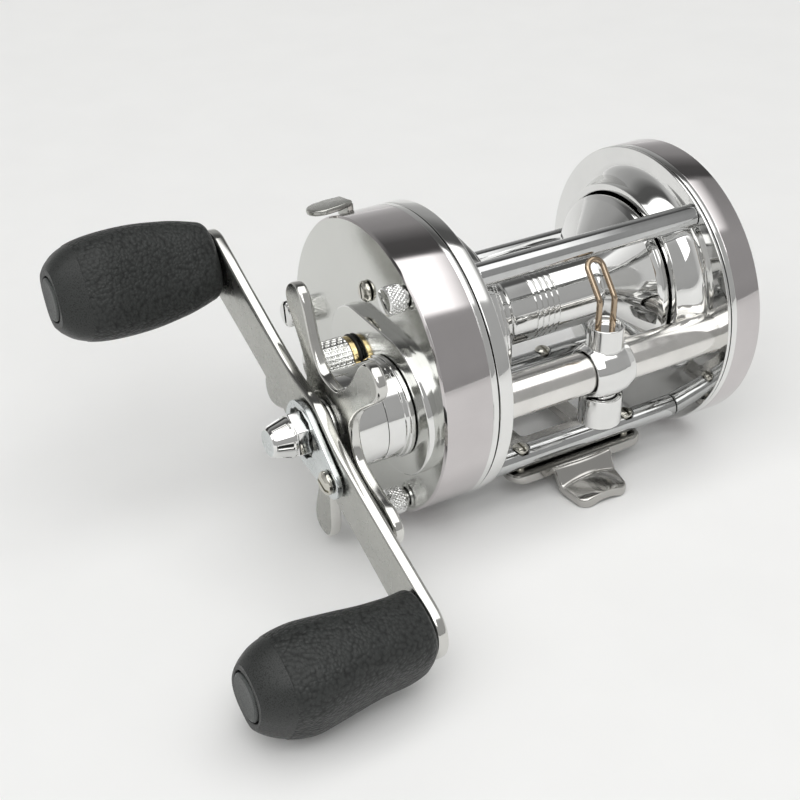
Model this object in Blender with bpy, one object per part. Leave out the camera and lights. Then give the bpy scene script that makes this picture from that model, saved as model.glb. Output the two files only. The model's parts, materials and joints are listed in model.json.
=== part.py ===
"""Round baitcasting reel, right-hand drive, as an assembly of separate solids.

Frame: X runs along the spool's axis with the crank handle at -X, the line leaves at -Y, +Z is up.
The origin is on the underside plane of the reel foot, midway between its two blades.
Units are metres. MM turns the millimetre values below into metres.
"""

import math

import bmesh
import bpy
from mathutils import Matrix, Vector

MM = 0.001
GAP = 0.3 * MM

# Driving dimensions of the frame and its covers.
HALF_GAP = 25.7 * MM            # each plate's inner face, from the middle of the reel
PLATE_RADIUS = 30 * MM
CENTRE_Z = 26.7 * MM            # height of the side plates' centre above the foot's underside
RING_THICKNESS = 3 * MM
HANDLE_COVER_FACE = 40.6 * MM   # outer face of the handle-side cover
PALM_COVER_FACE = 34.7 * MM     # outer face of the palm-side cover
COVER_WALL = 1.1 * MM
COVER_FACE_WALL = 1.4 * MM
BOSS_FACE = 42.9 * MM           # top of the raised teardrop boss
COLLAR_REACH = 5.5 * MM         # how far each spool collar stands into the gap between the plates

# Gears. The teeth fix the two centre distances.
DRIVE_TEETH = 57
PINION_TEETH = 15
DRIVE_MODULE = 0.4 * MM
COG_TEETH = 26
WORM_GEAR_TEETH = 15
COG_MODULE = 0.5 * MM

# Axes that run along X, as (y, z).
PLATE_AXIS = (0.0, CENTRE_Z)
SPOOL_AXIS = (0.0, CENTRE_Z + 3.5 * MM)
DRIVE_DISTANCE = DRIVE_MODULE * (DRIVE_TEETH + PINION_TEETH) / 2
DRIVE_ANGLE = math.radians(196.5)
DRIVE_AXIS = (SPOOL_AXIS[0] + DRIVE_DISTANCE * math.cos(DRIVE_ANGLE),
              SPOOL_AXIS[1] + DRIVE_DISTANCE * math.sin(DRIVE_ANGLE))
WORM_DISTANCE = COG_MODULE * (COG_TEETH + WORM_GEAR_TEETH) / 2
WORM_ANGLE = math.radians(176)
WORM_AXIS = (DRIVE_AXIS[0] + WORM_DISTANCE * math.cos(WORM_ANGLE),
             DRIVE_AXIS[1] + WORM_DISTANCE * math.sin(WORM_ANGLE))

# Pillars between the plates: (name, y, z, radius).
BAR_Y = 15.1 * MM
BAR_Z = 4.5 * MM
BAR_RADIUS = 2.35 * MM
PILLARS = (
    ("pillar_front_top", -15.2 * MM, CENTRE_Z + 22.6 * MM, 2.4 * MM),
    ("pillar_rear", 26.6 * MM, CENTRE_Z, 2.3 * MM),
    ("foot_bar_front", -BAR_Y, BAR_Z, BAR_RADIUS),
    ("foot_bar_rear", BAR_Y, BAR_Z, BAR_RADIUS),
)
THUMBSCREWS = ("pillar_front_top", "pillar_rear", "foot_bar_front")
TENON_RADIUS = 1.4 * MM
TENON_HOLE = 1.75 * MM
FOOT_SCREW_X = 13.2 * MM

# Handle.
ARM_ANGLE = math.radians(23.5)
ARM_THROW = 44 * MM             # drive axis to each knob's axis
ARM_NEAR = 58.0 * MM            # the arm's faces, from the middle of the reel
ARM_FAR = 60.4 * MM
KNOB_START = 60.9 * MM
KNOB_END = 93.2 * MM
KNOB_TURN = (math.radians(61.4), math.radians(116.6))

# Steps round a full turn, for large, medium and small round pieces.
COARSE, MEDIUM, FINE = 10, 18, 40

COLOURS = {
    "satin_cover": ((0.52, 0.52, 0.50), 0.32, 1.0),
    "gunmetal": ((0.36, 0.33, 0.33), 0.22, 1.0),
    "chrome": ((0.78, 0.78, 0.77), 0.08, 1.0),
    "steel": ((0.60, 0.60, 0.59), 0.25, 1.0),
    "satin_nickel": ((0.45, 0.45, 0.42), 0.30, 1.0),
    "zinc": ((0.66, 0.69, 0.69), 0.35, 1.0),
    "brass": ((0.70, 0.56, 0.27), 0.30, 1.0),
    "bronze": ((0.46, 0.37, 0.27), 0.35, 1.0),
    "rubber": ((0.045, 0.047, 0.045), 0.65, 0.0),
    "knob_cap": ((0.09, 0.095, 0.093), 0.5, 0.0),
    "nylon": ((0.75, 0.74, 0.70), 0.5, 0.0),
    "fibre": ((0.09, 0.07, 0.06), 0.8, 0.0),
}


# ---------------------------------------------------------------- tools


def clear_scene():
    for old in list(bpy.data.objects):
        bpy.data.objects.remove(old, do_unlink=True)


def material(name, finish):
    """A Principled material of the object's own, in one of the finishes above."""
    colour, roughness, metallic = COLOURS[finish]
    made = bpy.data.materials.new(name)
    made.use_nodes = True
    shader = made.node_tree.nodes["Principled BSDF"]
    shader.inputs["Base Color"].default_value = (*colour, 1)
    shader.inputs["Roughness"].default_value = roughness
    shader.inputs["Metallic"].default_value = metallic
    return made


def add(name, bm, finish, origin=(0, 0, 0)):
    """Makes the object from world coordinates, and puts its own origin at the point given."""
    bmesh.ops.remove_doubles(bm, verts=bm.verts, dist=1e-7)
    bmesh.ops.recalc_face_normals(bm, faces=bm.faces)
    if bm.calc_volume(signed=True) < 0:
        bmesh.ops.reverse_faces(bm, faces=bm.faces)
    bmesh.ops.translate(bm, verts=bm.verts, vec=-Vector(origin))
    mesh = bpy.data.meshes.new(name)
    bm.to_mesh(mesh)
    bm.free()
    mesh.shade_smooth()
    mesh.set_sharp_from_angle(angle=math.radians(35))
    made = bpy.data.objects.new(name, mesh)
    made.location = origin
    made.data.materials.append(material(name, finish))
    bpy.context.scene.collection.objects.link(made)
    return made


def helper(name, bm):
    """A shape that only cuts or joins, and isn't a piece of the reel."""
    made = add(name, bm, "steel")
    made.hide_render = True
    made.display_type = "WIRE"
    return made


def boolean(target, tool, operation):
    modifier = target.modifiers.new(f"{operation}_{tool.name}", "BOOLEAN")
    modifier.operation = operation
    modifier.object = tool
    modifier.solver = "EXACT"


def cut(target, name, bm):
    boolean(target, helper(f"cutter_{name}", bm), "DIFFERENCE")


def join(target, name, bm):
    boolean(target, helper(f"join_{name}", bm), "UNION")


def use_manifold(target):
    """For a piece whose cutters cross its own seams, where the exact solver leaves it open."""
    for modifier in target.modifiers:
        modifier.solver = "MANIFOLD"


def circle(centre, radius, steps, start=0.0, sweep=math.tau):
    """Points of a circle, or of an arc when sweep is under a full turn."""
    count = steps if sweep == math.tau else steps + 1
    return [(centre[0] + radius * math.cos(start + sweep * i / steps),
             centre[1] + radius * math.sin(start + sweep * i / steps)) for i in range(count)]


def loft(rings, bm=None, loop=False):
    """Skins rings of equal length. The ends are closed, or with loop the last ring meets the first."""
    bm = bm or bmesh.new()
    rows = [[bm.verts.new(point) for point in ring] for ring in rings]
    pairs = list(zip(rows, rows[1:]))
    if loop:
        pairs.append((rows[-1], rows[0]))
    for first, second in pairs:
        for i in range(len(first)):
            j = (i + 1) % len(first)
            bm.faces.new((first[i], first[j], second[j], second[i]))
    if not loop:
        bm.faces.new(rows[0])
        bm.faces.new(rows[-1])
    return bm


def turned(profile, centre=(0, 0), steps=MEDIUM, start=0.0):
    """Turns (x, radius) points round an axis along X. Points on the axis close it, or else it is a ring."""
    bm = bmesh.new()
    rows = []
    for x, radius in profile:
        if radius == 0:
            rows.append([bm.verts.new((x, *centre))])
        else:
            rows.append([bm.verts.new((x, y, z)) for y, z in circle(centre, radius, steps, start)])
    ends_on_axis = profile[0][1] == 0 and profile[-1][1] == 0
    pairs = list(zip(rows, rows[1:]))
    if not ends_on_axis:
        pairs.append((rows[-1], rows[0]))
    for first, second in pairs:
        for i in range(steps):
            j = (i + 1) % steps
            if len(first) == 1:
                bm.faces.new((first[0], second[j], second[i]))
            elif len(second) == 1:
                bm.faces.new((first[i], first[j], second[0]))
            else:
                bm.faces.new((first[i], first[j], second[j], second[i]))
    return bm


def rod(x0, x1, radius, centre=(0, 0), steps=COARSE):
    return turned([(x0, 0), (x0, radius), (x1, radius), (x1, 0)], centre, steps)


def drill(x0, x1, radius, centre=(0, 0), steps=COARSE):
    """A round cutter, turned a little so that its edges miss those of the piece it cuts."""
    return turned([(x0, 0), (x0, radius), (x1, radius), (x1, 0)], centre, steps, 0.11)


def ring(x0, x1, inner, outer, centre=(0, 0), steps=MEDIUM):
    return turned([(x0, inner), (x0, outer), (x1, outer), (x1, inner)], centre, steps)


def plate(outline, x0, x1, holes=()):
    """A flat plate across X with the outline and holes given as (y, z) loops."""
    bm = bmesh.new()
    edges = []
    for points in (outline, *holes):
        verts = [bm.verts.new((x0, y, z)) for y, z in points]
        edges += [bm.edges.new((verts[i - 1], verts[i])) for i in range(len(verts))]
    bmesh.ops.triangle_fill(bm, use_beauty=True, edges=edges)
    grown = bmesh.ops.extrude_face_region(bm, geom=list(bm.faces), use_keep_orig=True)
    moved = [item for item in grown["geom"] if isinstance(item, bmesh.types.BMVert)]
    bmesh.ops.translate(bm, verts=moved, vec=(x1 - x0, 0, 0))
    return bm


def box(low, high):
    bm = bmesh.new()
    size = Vector(high) - Vector(low)
    bmesh.ops.create_cube(bm, size=1)
    bmesh.ops.scale(bm, verts=bm.verts, vec=size)
    bmesh.ops.translate(bm, verts=bm.verts, vec=(Vector(high) + Vector(low)) / 2)
    return bm


def placed(bm, matrix):
    bmesh.ops.transform(bm, matrix=matrix, verts=bm.verts)
    return bm


def upright(x, y, z):
    """Turns the X axis of a shape to +Z and moves its origin to the point."""
    return Matrix.Translation((x, y, z)) @ Matrix.Rotation(-math.pi / 2, 4, "Y")


def axis_point(axis):
    return (0, axis[0], axis[1])


def polar(axis, radius, angle):
    return (axis[0] + radius * math.cos(angle), axis[1] + radius * math.sin(angle))


def local(axis, points, angle=0.0):
    """Turns (u, v) points by the angle and moves them to the axis."""
    c, s = math.cos(angle), math.sin(angle)
    return [(axis[0] + u * c - v * s, axis[1] + u * s + v * c) for u, v in points]


def gear_outline(axis, teeth, module, tooth_at):
    """Straight-flanked teeth at 20 degrees, cut thin for backlash, with a tooth centred on the angle."""
    pitch_radius = module * teeth / 2
    half = math.pi * module / 4 * 0.84
    slope = math.tan(math.radians(20))
    tip = pitch_radius + 0.9 * module
    root = pitch_radius - 1.2 * module
    root_half = (half + 1.1 * slope * module) / root
    tip_half = (half - 0.9 * slope * module) / tip
    points = []
    for i in range(teeth):
        middle = tooth_at + math.tau * i / teeth
        for radius, angle in ((root, -root_half), (tip, -tip_half), (tip, tip_half), (root, root_half)):
            points.append(polar(axis, radius, middle + angle))
    return points


def hull_of_circles(first, r1, second, r2, steps):
    """The teardrop outline round two circles."""
    dy, dz = second[0] - first[0], second[1] - first[1]
    along = math.atan2(dz, dy)
    lean = math.acos((r1 - r2) / math.hypot(dy, dz))
    big = circle(first, r1, steps, along + lean, math.tau - 2 * lean)
    small = circle(second, r2, steps // 2, along - lean, 2 * lean)
    return big + small


# ---------------------------------------------------------------- frame


def plate_rings(side, rim, back):
    """Sections of a side plate: a rim round the plate's axis, and a raised lip round the spool's opening."""
    reach = HALF_GAP - COLLAR_REACH
    inner, outer = 18.5 * MM, 20.3 * MM
    lip = [(back, inner), (reach, inner), (reach, outer), (HALF_GAP, outer + 1.0 * MM)]
    rings = [(x, radius, PLATE_AXIS) for x, radius in rim] + [(x, radius, SPOOL_AXIS) for x, radius in lip]
    return [[(side * x, *point) for point in circle(axis, radius, FINE)] for x, radius, axis in rings]


def drill_plate(target, side, pillar_depth):
    """Cuts the pillar holes and the level-wind's seat in one side plate."""
    name = "handle" if side < 0 else "palm"
    start, end = side * (HALF_GAP - 1 * MM), side * (HALF_GAP + 4 * MM)
    for pillar, y, z, _ in PILLARS:
        cut(target, f"{name}_{pillar}", drill(start, side * (HALF_GAP + pillar_depth), TENON_HOLE, (y, z)))
    seat = side * (HALF_GAP + 0.5 * MM)
    cut(target, f"{name}_worm_seat", drill(side * (HALF_GAP - 7 * MM), seat, 4.45 * MM, WORM_AXIS, MEDIUM))
    cut(target, f"{name}_worm_hole", drill(start, end, 1.7 * MM, WORM_AXIS))
    use_manifold(target)


def frame_ring():
    """Handle-side ring of the frame."""
    far = HALF_GAP + RING_THICKNESS
    rings = plate_rings(-1, [(HALF_GAP, PLATE_RADIUS), (far, PLATE_RADIUS)], far)
    drill_plate(add("frame_ring_handle_side", loft(rings, loop=True), "chrome"), -1, 4 * MM)


def frame_plate():
    """Palm-side plate: a thin bright lip, and a spigot that the palm cover fits over."""
    lip, spigot = HALF_GAP + 0.6 * MM, HALF_GAP + 1.8 * MM
    fit = PLATE_RADIUS - 1.8 * MM
    rim = [(HALF_GAP, PLATE_RADIUS), (lip, PLATE_RADIUS), (lip, fit), (spigot, fit)]
    made = add("frame_plate_palm_side", loft(plate_rings(1, rim, spigot), loop=True), "chrome")
    drill_plate(made, 1, 0.9 * MM)


def pillars():
    end = HALF_GAP - GAP / 2
    for name, y, z, radius in PILLARS:
        tenon = (-HALF_GAP - 1.1 * MM, HALF_GAP + 0.5 * MM)
        profile = [(tenon[0], 0), (tenon[0], TENON_RADIUS), (-end, TENON_RADIUS), (-end, radius),
                   (end, radius), (end, TENON_RADIUS), (tenon[1], TENON_RADIUS), (tenon[1], 0)]
        made = add(name, turned(profile, (y, z), MEDIUM), "chrome")
        if name.startswith("foot_bar"):
            for side in (-1, 1):
                place = upright(side * FOOT_SCREW_X, y, z)
                cut(made, f"{name}_{side}", placed(drill(-4 * MM, 4 * MM, 1.3 * MM), place))
                seat = placed(drill(BAR_RADIUS - 0.9 * MM, 4 * MM, 2.0 * MM), place)
                cut(made, f"{name}_seat_{side}", seat)


FOOT_THICKNESS = 1.8 * MM
FOOT_TIP_Y = 27.5 * MM
BLADE_DROP = 2.9 * MM
SPINE_HALF = 10.5 * MM
LOBE_HALF = 16.6 * MM
BLADE_HALF = 7.2 * MM
TIP_HALF = 5.8 * MM


def foot_section(y):
    """Half width, drop and arch of the foot at a distance from its middle."""
    bar_arm = BAR_Y - 3.4 * MM
    if y < bar_arm:
        return SPINE_HALF, 0.0, 0.0
    if y <= BAR_Y + 3.4 * MM:
        across = (y - BAR_Y) / (3.4 * MM)
        return LOBE_HALF - 3.2 * MM * (1 - math.sqrt(max(0.0, 1 - across * across))), 0.0, 0.0
    share = (y - BAR_Y - 3.4 * MM) / (FOOT_TIP_Y - BAR_Y - 3.4 * MM)
    step = min(1.0, share / 0.35)
    drop = BLADE_DROP * step * step * (3 - 2 * step) * (0.8 + 0.2 * share)
    width = BLADE_HALF + (TIP_HALF - BLADE_HALF) * share
    rounding = max(0.0, share - 0.8) / 0.2
    width -= 2.0 * MM * (1 - math.sqrt(max(0.0, 1 - rounding * rounding)))
    return width, drop, 1.0 * MM * step


def reel_foot():
    """Stamped plate under the two foot bars, with a dropped, arched blade fore and aft."""
    bar_arm = BAR_Y - 3.4 * MM
    blade = BAR_Y + 3.4 * MM
    half = [0, bar_arm - 0.01 * MM]
    half += [BAR_Y - 3.4 * MM * math.cos(math.pi * i / 6) for i in range(7)]
    half += [blade + (FOOT_TIP_Y - blade) * share for share in (0.001, 0.12, 0.24, 0.35, 0.8, 0.93, 1.0)]
    stations = [-y for y in reversed(half[1:])] + half
    across = 6
    rings = []
    for y in stations:
        width, drop, arch = foot_section(abs(y))
        top = []
        for i in range(across + 1):
            t = 2 * i / across - 1
            top.append((width * t, y, FOOT_THICKNESS - drop - arch * t * t))
        bottom = [(x, y, z - FOOT_THICKNESS) for x, y, z in reversed(top)]
        rings.append(top + bottom)
    made = add("reel_foot", loft(rings), "steel")
    cut(made, "foot_window", box((-6.5 * MM, -6 * MM, -2 * MM), (6.5 * MM, 6 * MM, 3 * MM)))
    for side in (-1, 1):
        for y in (-BAR_Y, BAR_Y):
            hole = placed(drill(-3 * MM, 4 * MM, 1.3 * MM), upright(side * FOOT_SCREW_X, y, 0))
            cut(made, f"foot_hole_{side}_{y:.4f}", hole)


def slot_across(x0, x1, width, reach, axis, angle):
    """A cutter for a screwdriver slot in a head that faces along X."""
    bm = box((x0, -reach, -width / 2), (x1, reach, width / 2))
    return placed(bm, Matrix.Translation((0, *axis)) @ Matrix.Rotation(angle, 4, "X"))


def foot_screws():
    """Slotted screws down through the foot bars into the foot."""
    number = 0
    for y in (-BAR_Y, BAR_Y):
        for side in (-1, 1):
            number += 1
            top = BAR_RADIUS + 0.1 * MM
            profile = [(-BAR_Z + 0.4 * MM, 0), (-BAR_Z + 0.4 * MM, 1.0 * MM), (top - 0.6 * MM, 1.0 * MM),
                       (top - 0.6 * MM, 1.7 * MM), (top, 1.7 * MM), (top + 0.4 * MM, 1.1 * MM),
                       (top + 0.4 * MM, 0)]
            place = upright(side * FOOT_SCREW_X, y, BAR_Z)
            made = add(f"foot_screw_{number}", placed(turned(profile, steps=COARSE), place), "satin_nickel")
            groove = box((top - 0.1 * MM, -3 * MM, -0.25 * MM), (top + 1 * MM, 3 * MM, 0.25 * MM))
            cut(made, f"foot_screw_slot_{number}", placed(groove, place))


# ---------------------------------------------------------------- covers


LEVER_X = (-36.1 * MM, -34.9 * MM)
LEVER_PIVOT = (12.0 * MM, CENTRE_Z)
LEVER_ANGLE = math.radians(59)
PAD_ANGLE = math.radians(78)     # which way the lever's pad faces
PAD_DROOP = math.radians(-4)     # how far the pad slopes down to its tip
COVER_SCREW_AT = (-1.3 * MM, CENTRE_Z + 17.4 * MM)


def handle_cover():
    """Handle-side cover: a turned cup with a raised teardrop boss over the drive and spool axes."""
    open_end = -HALF_GAP - RING_THICKNESS - GAP
    face, inside = -HANDLE_COVER_FACE, -HANDLE_COVER_FACE + COVER_FACE_WALL
    bore = PLATE_RADIUS - COVER_WALL
    profile = [(face, 0), (face, PLATE_RADIUS - 0.5 * MM), (face + 0.5 * MM, PLATE_RADIUS),
               (open_end, PLATE_RADIUS), (open_end, bore), (inside, bore), (inside, 0)]
    made = add("handle_side_cover", turned(profile, PLATE_AXIS, FINE), "satin_cover")
    outline = hull_of_circles(DRIVE_AXIS, 14 * MM, SPOOL_AXIS, 9.8 * MM, 24)
    join(made, "boss", plate(outline, -BOSS_FACE, face + 0.7 * MM))
    join(made, "neck", rod(-BOSS_FACE - 5 * MM, -BOSS_FACE + 0.6 * MM, 3.0 * MM, SPOOL_AXIS))
    join(made, "lever_pin", rod(inside - 0.5 * MM, -34.0 * MM, 1.2 * MM, LEVER_PIVOT))
    cut(made, "drag_recess", drill(-38 * MM, -41.2 * MM, 11.8 * MM, DRIVE_AXIS, 32))
    cut(made, "bearing_pocket", drill(-38 * MM, -41.6 * MM, 4.4 * MM, SPOOL_AXIS, MEDIUM))
    cut(made, "drive_hole", drill(-40 * MM, -44 * MM, 3.4 * MM, DRIVE_AXIS))
    cut(made, "neck_bore", drill(-41 * MM, -49 * MM, 1.9 * MM, SPOOL_AXIS))
    cut(made, "screw_hole", drill(-38 * MM, -41 * MM, 1.2 * MM, COVER_SCREW_AT))
    for name, y, z, _ in PILLARS:
        if name in THUMBSCREWS:
            cut(made, f"thumb_{name}", drill(-38 * MM, -41 * MM, TENON_HOLE, (y, z)))
    slot = box((LEVER_X[0] - 0.4 * MM, -4.2 * MM, 26 * MM), (LEVER_X[1] + 0.4 * MM, 6.0 * MM, 33 * MM))
    turn = Matrix.Rotation(math.radians(54.5) - math.pi / 2, 4, "X")
    cut(made, "lever_slot", placed(slot, Matrix.Translation((0, *PLATE_AXIS)) @ turn))
    use_manifold(made)


def palm_cover():
    """Palm-side cover: a cup with a stepped face and an inner boss for the spool's bearing."""
    open_end = HALF_GAP + 0.6 * MM + GAP
    face, inside = PALM_COVER_FACE, PALM_COVER_FACE - COVER_FACE_WALL
    bore = PLATE_RADIUS - 1.5 * MM
    profile = [(inside, 0), (inside, bore), (open_end, bore), (open_end, PLATE_RADIUS),
               (face - 0.9 * MM, PLATE_RADIUS), (face, PLATE_RADIUS - 0.9 * MM), (face, 23.5 * MM),
               (face + 0.8 * MM, 22.3 * MM), (face + 0.8 * MM, 0)]
    made = add("palm_side_cover", turned(profile, PLATE_AXIS, FINE), "gunmetal")
    join(made, "palm_boss", ring(31.2 * MM, inside + 0.4 * MM, 4.4 * MM, 6.0 * MM, SPOOL_AXIS))
    dome = [(face + 0.4 * MM, 0), (face + 0.4 * MM, 7 * MM), (face + 1.6 * MM, 6.4 * MM),
            (face + 2.0 * MM, 5.2 * MM), (face + 2.0 * MM, 0)]
    join(made, "palm_dome", turned(dome, SPOOL_AXIS, MEDIUM))
    use_manifold(made)


def thumbscrews():
    """Knurled, slotted thumbscrews that hold the handle-side cover to the frame."""
    number = 0
    for name, y, z, _ in PILLARS:
        if name not in THUMBSCREWS:
            continue
        number += 1
        seat = -HANDLE_COVER_FACE - GAP
        end = seat - 4.0 * MM
        profile = [(-27.4 * MM, 0), (-27.4 * MM, TENON_RADIUS), (seat, TENON_RADIUS), (seat, 2.2 * MM),
                   (seat - 0.5 * MM, 2.2 * MM), (seat - 0.7 * MM, 2.8 * MM), (end + 0.4 * MM, 2.8 * MM),
                   (end, 2.4 * MM), (end, 0)]
        made = add(f"thumbscrew_{number}", turned(profile, (y, z), 16), "chrome")
        cut(made, f"thumb_slot_{number}",
            slot_across(end - 1 * MM, end + 1.1 * MM, 0.8 * MM, 4 * MM, (y, z), math.radians(40 * number)))


def cover_screw():
    seat = -HANDLE_COVER_FACE - GAP
    profile = [(-36.5 * MM, 0), (-36.5 * MM, 0.9 * MM), (seat, 0.9 * MM), (seat, 2.1 * MM),
               (seat - 0.5 * MM, 2.1 * MM), (seat - 1.1 * MM, 1.2 * MM), (seat - 1.1 * MM, 0)]
    made = add("cover_screw", turned(profile, COVER_SCREW_AT, 16), "satin_nickel")
    cut(made, "cover_screw_slot",
        slot_across(seat - 2 * MM, seat - 0.6 * MM, 0.5 * MM, 3 * MM, COVER_SCREW_AT, math.radians(75)))


YOKE_POST_Y = 4.9 * MM
YOKE_POST_REACH = 9.2 * MM


def bridge_plate():
    """Inner plate that carries the ends of the drive and worm shafts, and the yoke's two posts."""
    near, far = -29.0 * MM, -30.4 * MM
    holes = [circle(at, radius, COARSE) for at, radius in
             ((SPOOL_AXIS, 4.2 * MM), (DRIVE_AXIS, 2.1 * MM), (WORM_AXIS, 1.6 * MM))]
    outline = hull_of_circles(PLATE_AXIS, 23.6 * MM, WORM_AXIS, 3.2 * MM, 32)
    made = add("bridge_plate", plate(outline, near, far, holes), "steel")
    for side in (-1, 1):
        at = (YOKE_POST_Y, SPOOL_AXIS[1] + side * YOKE_POST_REACH)
        join(made, f"yoke_post_{side}", rod(near - 0.5 * MM, -38.0 * MM, 0.9 * MM, at))


# ---------------------------------------------------------------- drive train and handle


def drive_shaft():
    """From the bridge plate out through the cover, the star and the arm to the handle nut."""
    profile = [(-29.2, 0), (-29.2, 1.8), (-30.9, 1.8), (-30.9, 2.5), (-48.4, 2.5), (-48.9, 2.7),
               (-57.6, 2.7), (-57.6, 2.3), (-60.5, 2.3), (-60.5, 1.6), (-65.5, 1.6), (-65.5, 0)]
    add("drive_shaft", turned([(x * MM, r * MM) for x, r in profile], DRIVE_AXIS, 16), "steel",
        axis_point(DRIVE_AXIS))


def round_piece(name, profile, axis, finish, steps=MEDIUM):
    """A turned piece given in millimetres, with its own origin on its axis."""
    points = [(x * MM, r * MM) for x, r in profile]
    return add(name, turned(points, axis, steps), finish, axis_point(axis))


def drag_stack():
    round_piece("drag_washer", [(-37.7, 3), (-37.7, 9.6), (-37.2, 9.6), (-37.2, 3)], DRIVE_AXIS, "fibre")
    round_piece("drag_pressure_plate", [(-39.2, 3), (-39.2, 5), (-38.7, 10), (-38.0, 10), (-38.0, 3)],
                DRIVE_AXIS, "steel")
    round_piece("star_spring_washer", [(-57.7, 3.2), (-57.4, 5.6), (-57.0, 5.6), (-57.3, 3.2)],
                DRIVE_AXIS, "steel")


def drive_housing():
    """The stepped collar on the cover round the drive shaft, which holds the one-way bearing."""
    outer = [(-43.2, 10.0), (-44.0, 10.0), (-44.2, 9.7), (-44.9, 9.7), (-45.1, 9.5), (-48.5, 9.5),
             (-48.5, 3.6)]
    inner = [(-47.7, 3.6), (-47.7, 7.5), (-43.2, 7.5)]
    round_piece("drive_housing", inner + outer, DRIVE_AXIS, "chrome", 28)
    round_piece("one_way_bearing", [(-44.0, 3.0), (-44.0, 7.2), (-47.4, 7.2), (-47.4, 3.0)],
                DRIVE_AXIS, "steel")


def gears():
    mesh_angle = DRIVE_ANGLE + math.pi
    outline = gear_outline(DRIVE_AXIS, DRIVE_TEETH, DRIVE_MODULE, mesh_angle)
    hole = circle(DRIVE_AXIS, 2.8 * MM, 16)
    add("drive_gear", plate(outline, -36.9 * MM, -34.9 * MM, [hole]), "brass", axis_point(DRIVE_AXIS))

    outline = gear_outline(SPOOL_AXIS, PINION_TEETH, DRIVE_MODULE, DRIVE_ANGLE + math.pi / PINION_TEETH)
    pinion = add("pinion", plate(outline, -37.5 * MM, -33.3 * MM), "brass", axis_point(SPOOL_AXIS))
    end = [(-34.0, 0), (-34.0, 2.2), (-31.7, 2.2), (-31.7, 3.3), (-30.1, 3.3), (-30.1, 0)]
    join(pinion, "pinion_end", turned([(x * MM, r * MM) for x, r in end], SPOOL_AXIS, 16))
    cut(pinion, "pinion_bore", drill(-40 * MM, -29 * MM, 1.75 * MM, SPOOL_AXIS, 16))
    slot = box((-31.3 * MM, -0.85 * MM, -5 * MM), (-29 * MM, 0.85 * MM, 5 * MM))
    cut(pinion, "pinion_slot", placed(slot, Matrix.Translation((0, *SPOOL_AXIS))))
    use_manifold(pinion)

    outline = gear_outline(DRIVE_AXIS, COG_TEETH, COG_MODULE, WORM_ANGLE)
    add("levelwind_cog", plate(outline, -33.1 * MM, -31.1 * MM, [hole]), "brass", axis_point(DRIVE_AXIS))

    tooth_at = WORM_ANGLE + math.pi + math.pi / WORM_GEAR_TEETH
    outline = gear_outline(WORM_AXIS, WORM_GEAR_TEETH, COG_MODULE, tooth_at)
    add("worm_gear", plate(outline, -33.1 * MM, -31.1 * MM, [circle(WORM_AXIS, 1.45 * MM, COARSE)]),
        "nylon", axis_point(WORM_AXIS))


def clutch():
    """The yoke that slides the pinion out of drive, its springs, and the thumb lever that works it."""
    body = [(-3, 2.8), (0, 2.8)]
    body += [(2.8 * math.sin(math.pi * i / 8), 2.8 * math.cos(math.pi * i / 8)) for i in range(1, 8)]
    body += [(0, -2.8), (-3, -2.8), (-3, -4.8), (2.2, -5.2), (2.2, -12), (7.5, -12), (7.5, 12), (2.2, 12),
             (2.2, 5.2), (-3, 4.8)]
    outline = local(SPOOL_AXIS, [(u * MM, v * MM) for u, v in body])
    posts = [(YOKE_POST_Y, SPOOL_AXIS[1] + side * YOKE_POST_REACH) for side in (-1, 1)]
    holes = [circle(at, 1.2 * MM, COARSE) for at in posts]
    add("clutch_yoke", plate(outline, -33.0 * MM, -32.0 * MM, holes), "steel")
    for number, at in enumerate(posts, 1):
        add(f"yoke_spring_{number}", coil(at, -37.0 * MM, -33.5 * MM, 1.75 * MM, 0.25 * MM, 3.5), "steel")

    lift = 32.2 * MM
    stem_end = polar(PLATE_AXIS, lift - 0.1 * MM, LEVER_ANGLE)
    lean = math.atan2(stem_end[1] - LEVER_PIVOT[1], stem_end[0] - LEVER_PIVOT[0])
    length = math.hypot(stem_end[1] - LEVER_PIVOT[1], stem_end[0] - LEVER_PIVOT[0])
    arm = circle((0, 0), 3.0 * MM, 10, math.radians(45), math.radians(270))
    arm += [(length, -2.4 * MM), (length, 2.4 * MM)]
    lever = add("clutch_lever", plate(local(LEVER_PIVOT, arm, lean), *LEVER_X,
                                      [circle(LEVER_PIVOT, 1.5 * MM, COARSE)]),
                "satin_nickel", axis_point(LEVER_PIVOT))
    root = LEVER_X[1] - 0.2 * MM
    pad = [(root, -2.4 * MM), (-38.0 * MM, -3.3 * MM)]
    pad += circle((-40.4 * MM, 0), 3.3 * MM, 10, -math.pi / 2, -math.pi)
    pad += [(-38.0 * MM, 3.3 * MM), (root, 2.4 * MM)]
    leaf = plate(pad, -0.6 * MM, 0.6 * MM)
    to_radial = Matrix(((0, 1, 0, 0), (0, 0, 1, 0), (1, 0, 0, 0), (0, 0, 0, 1)))
    turn = Matrix.Rotation(PAD_ANGLE - math.pi / 2, 4, "X")
    centre = polar(PLATE_AXIS, lift, LEVER_ANGLE)
    droop = Matrix.Translation((root, 0, 0)) @ Matrix.Rotation(PAD_DROOP, 4, "Y")
    droop = droop @ Matrix.Translation((-root, 0, 0))
    join(lever, "lever_pad", placed(leaf, Matrix.Translation((0, *centre)) @ turn @ droop @ to_radial))


def coil(at, x0, x1, radius, wire, turns):
    """A helical spring along X."""
    steps = round(turns * 10)
    rings = []
    for i in range(steps + 1):
        angle = math.tau * turns * i / steps
        x = x0 + (x1 - x0) * i / steps
        ring_points = []
        for k in range(4):
            across = math.tau * k / 4
            reach = radius + wire * math.cos(across)
            ring_points.append((x + wire * math.sin(across), at[0] + reach * math.cos(angle),
                                at[1] + reach * math.sin(angle)))
        rings.append(ring_points)
    return loft(rings)


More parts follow.
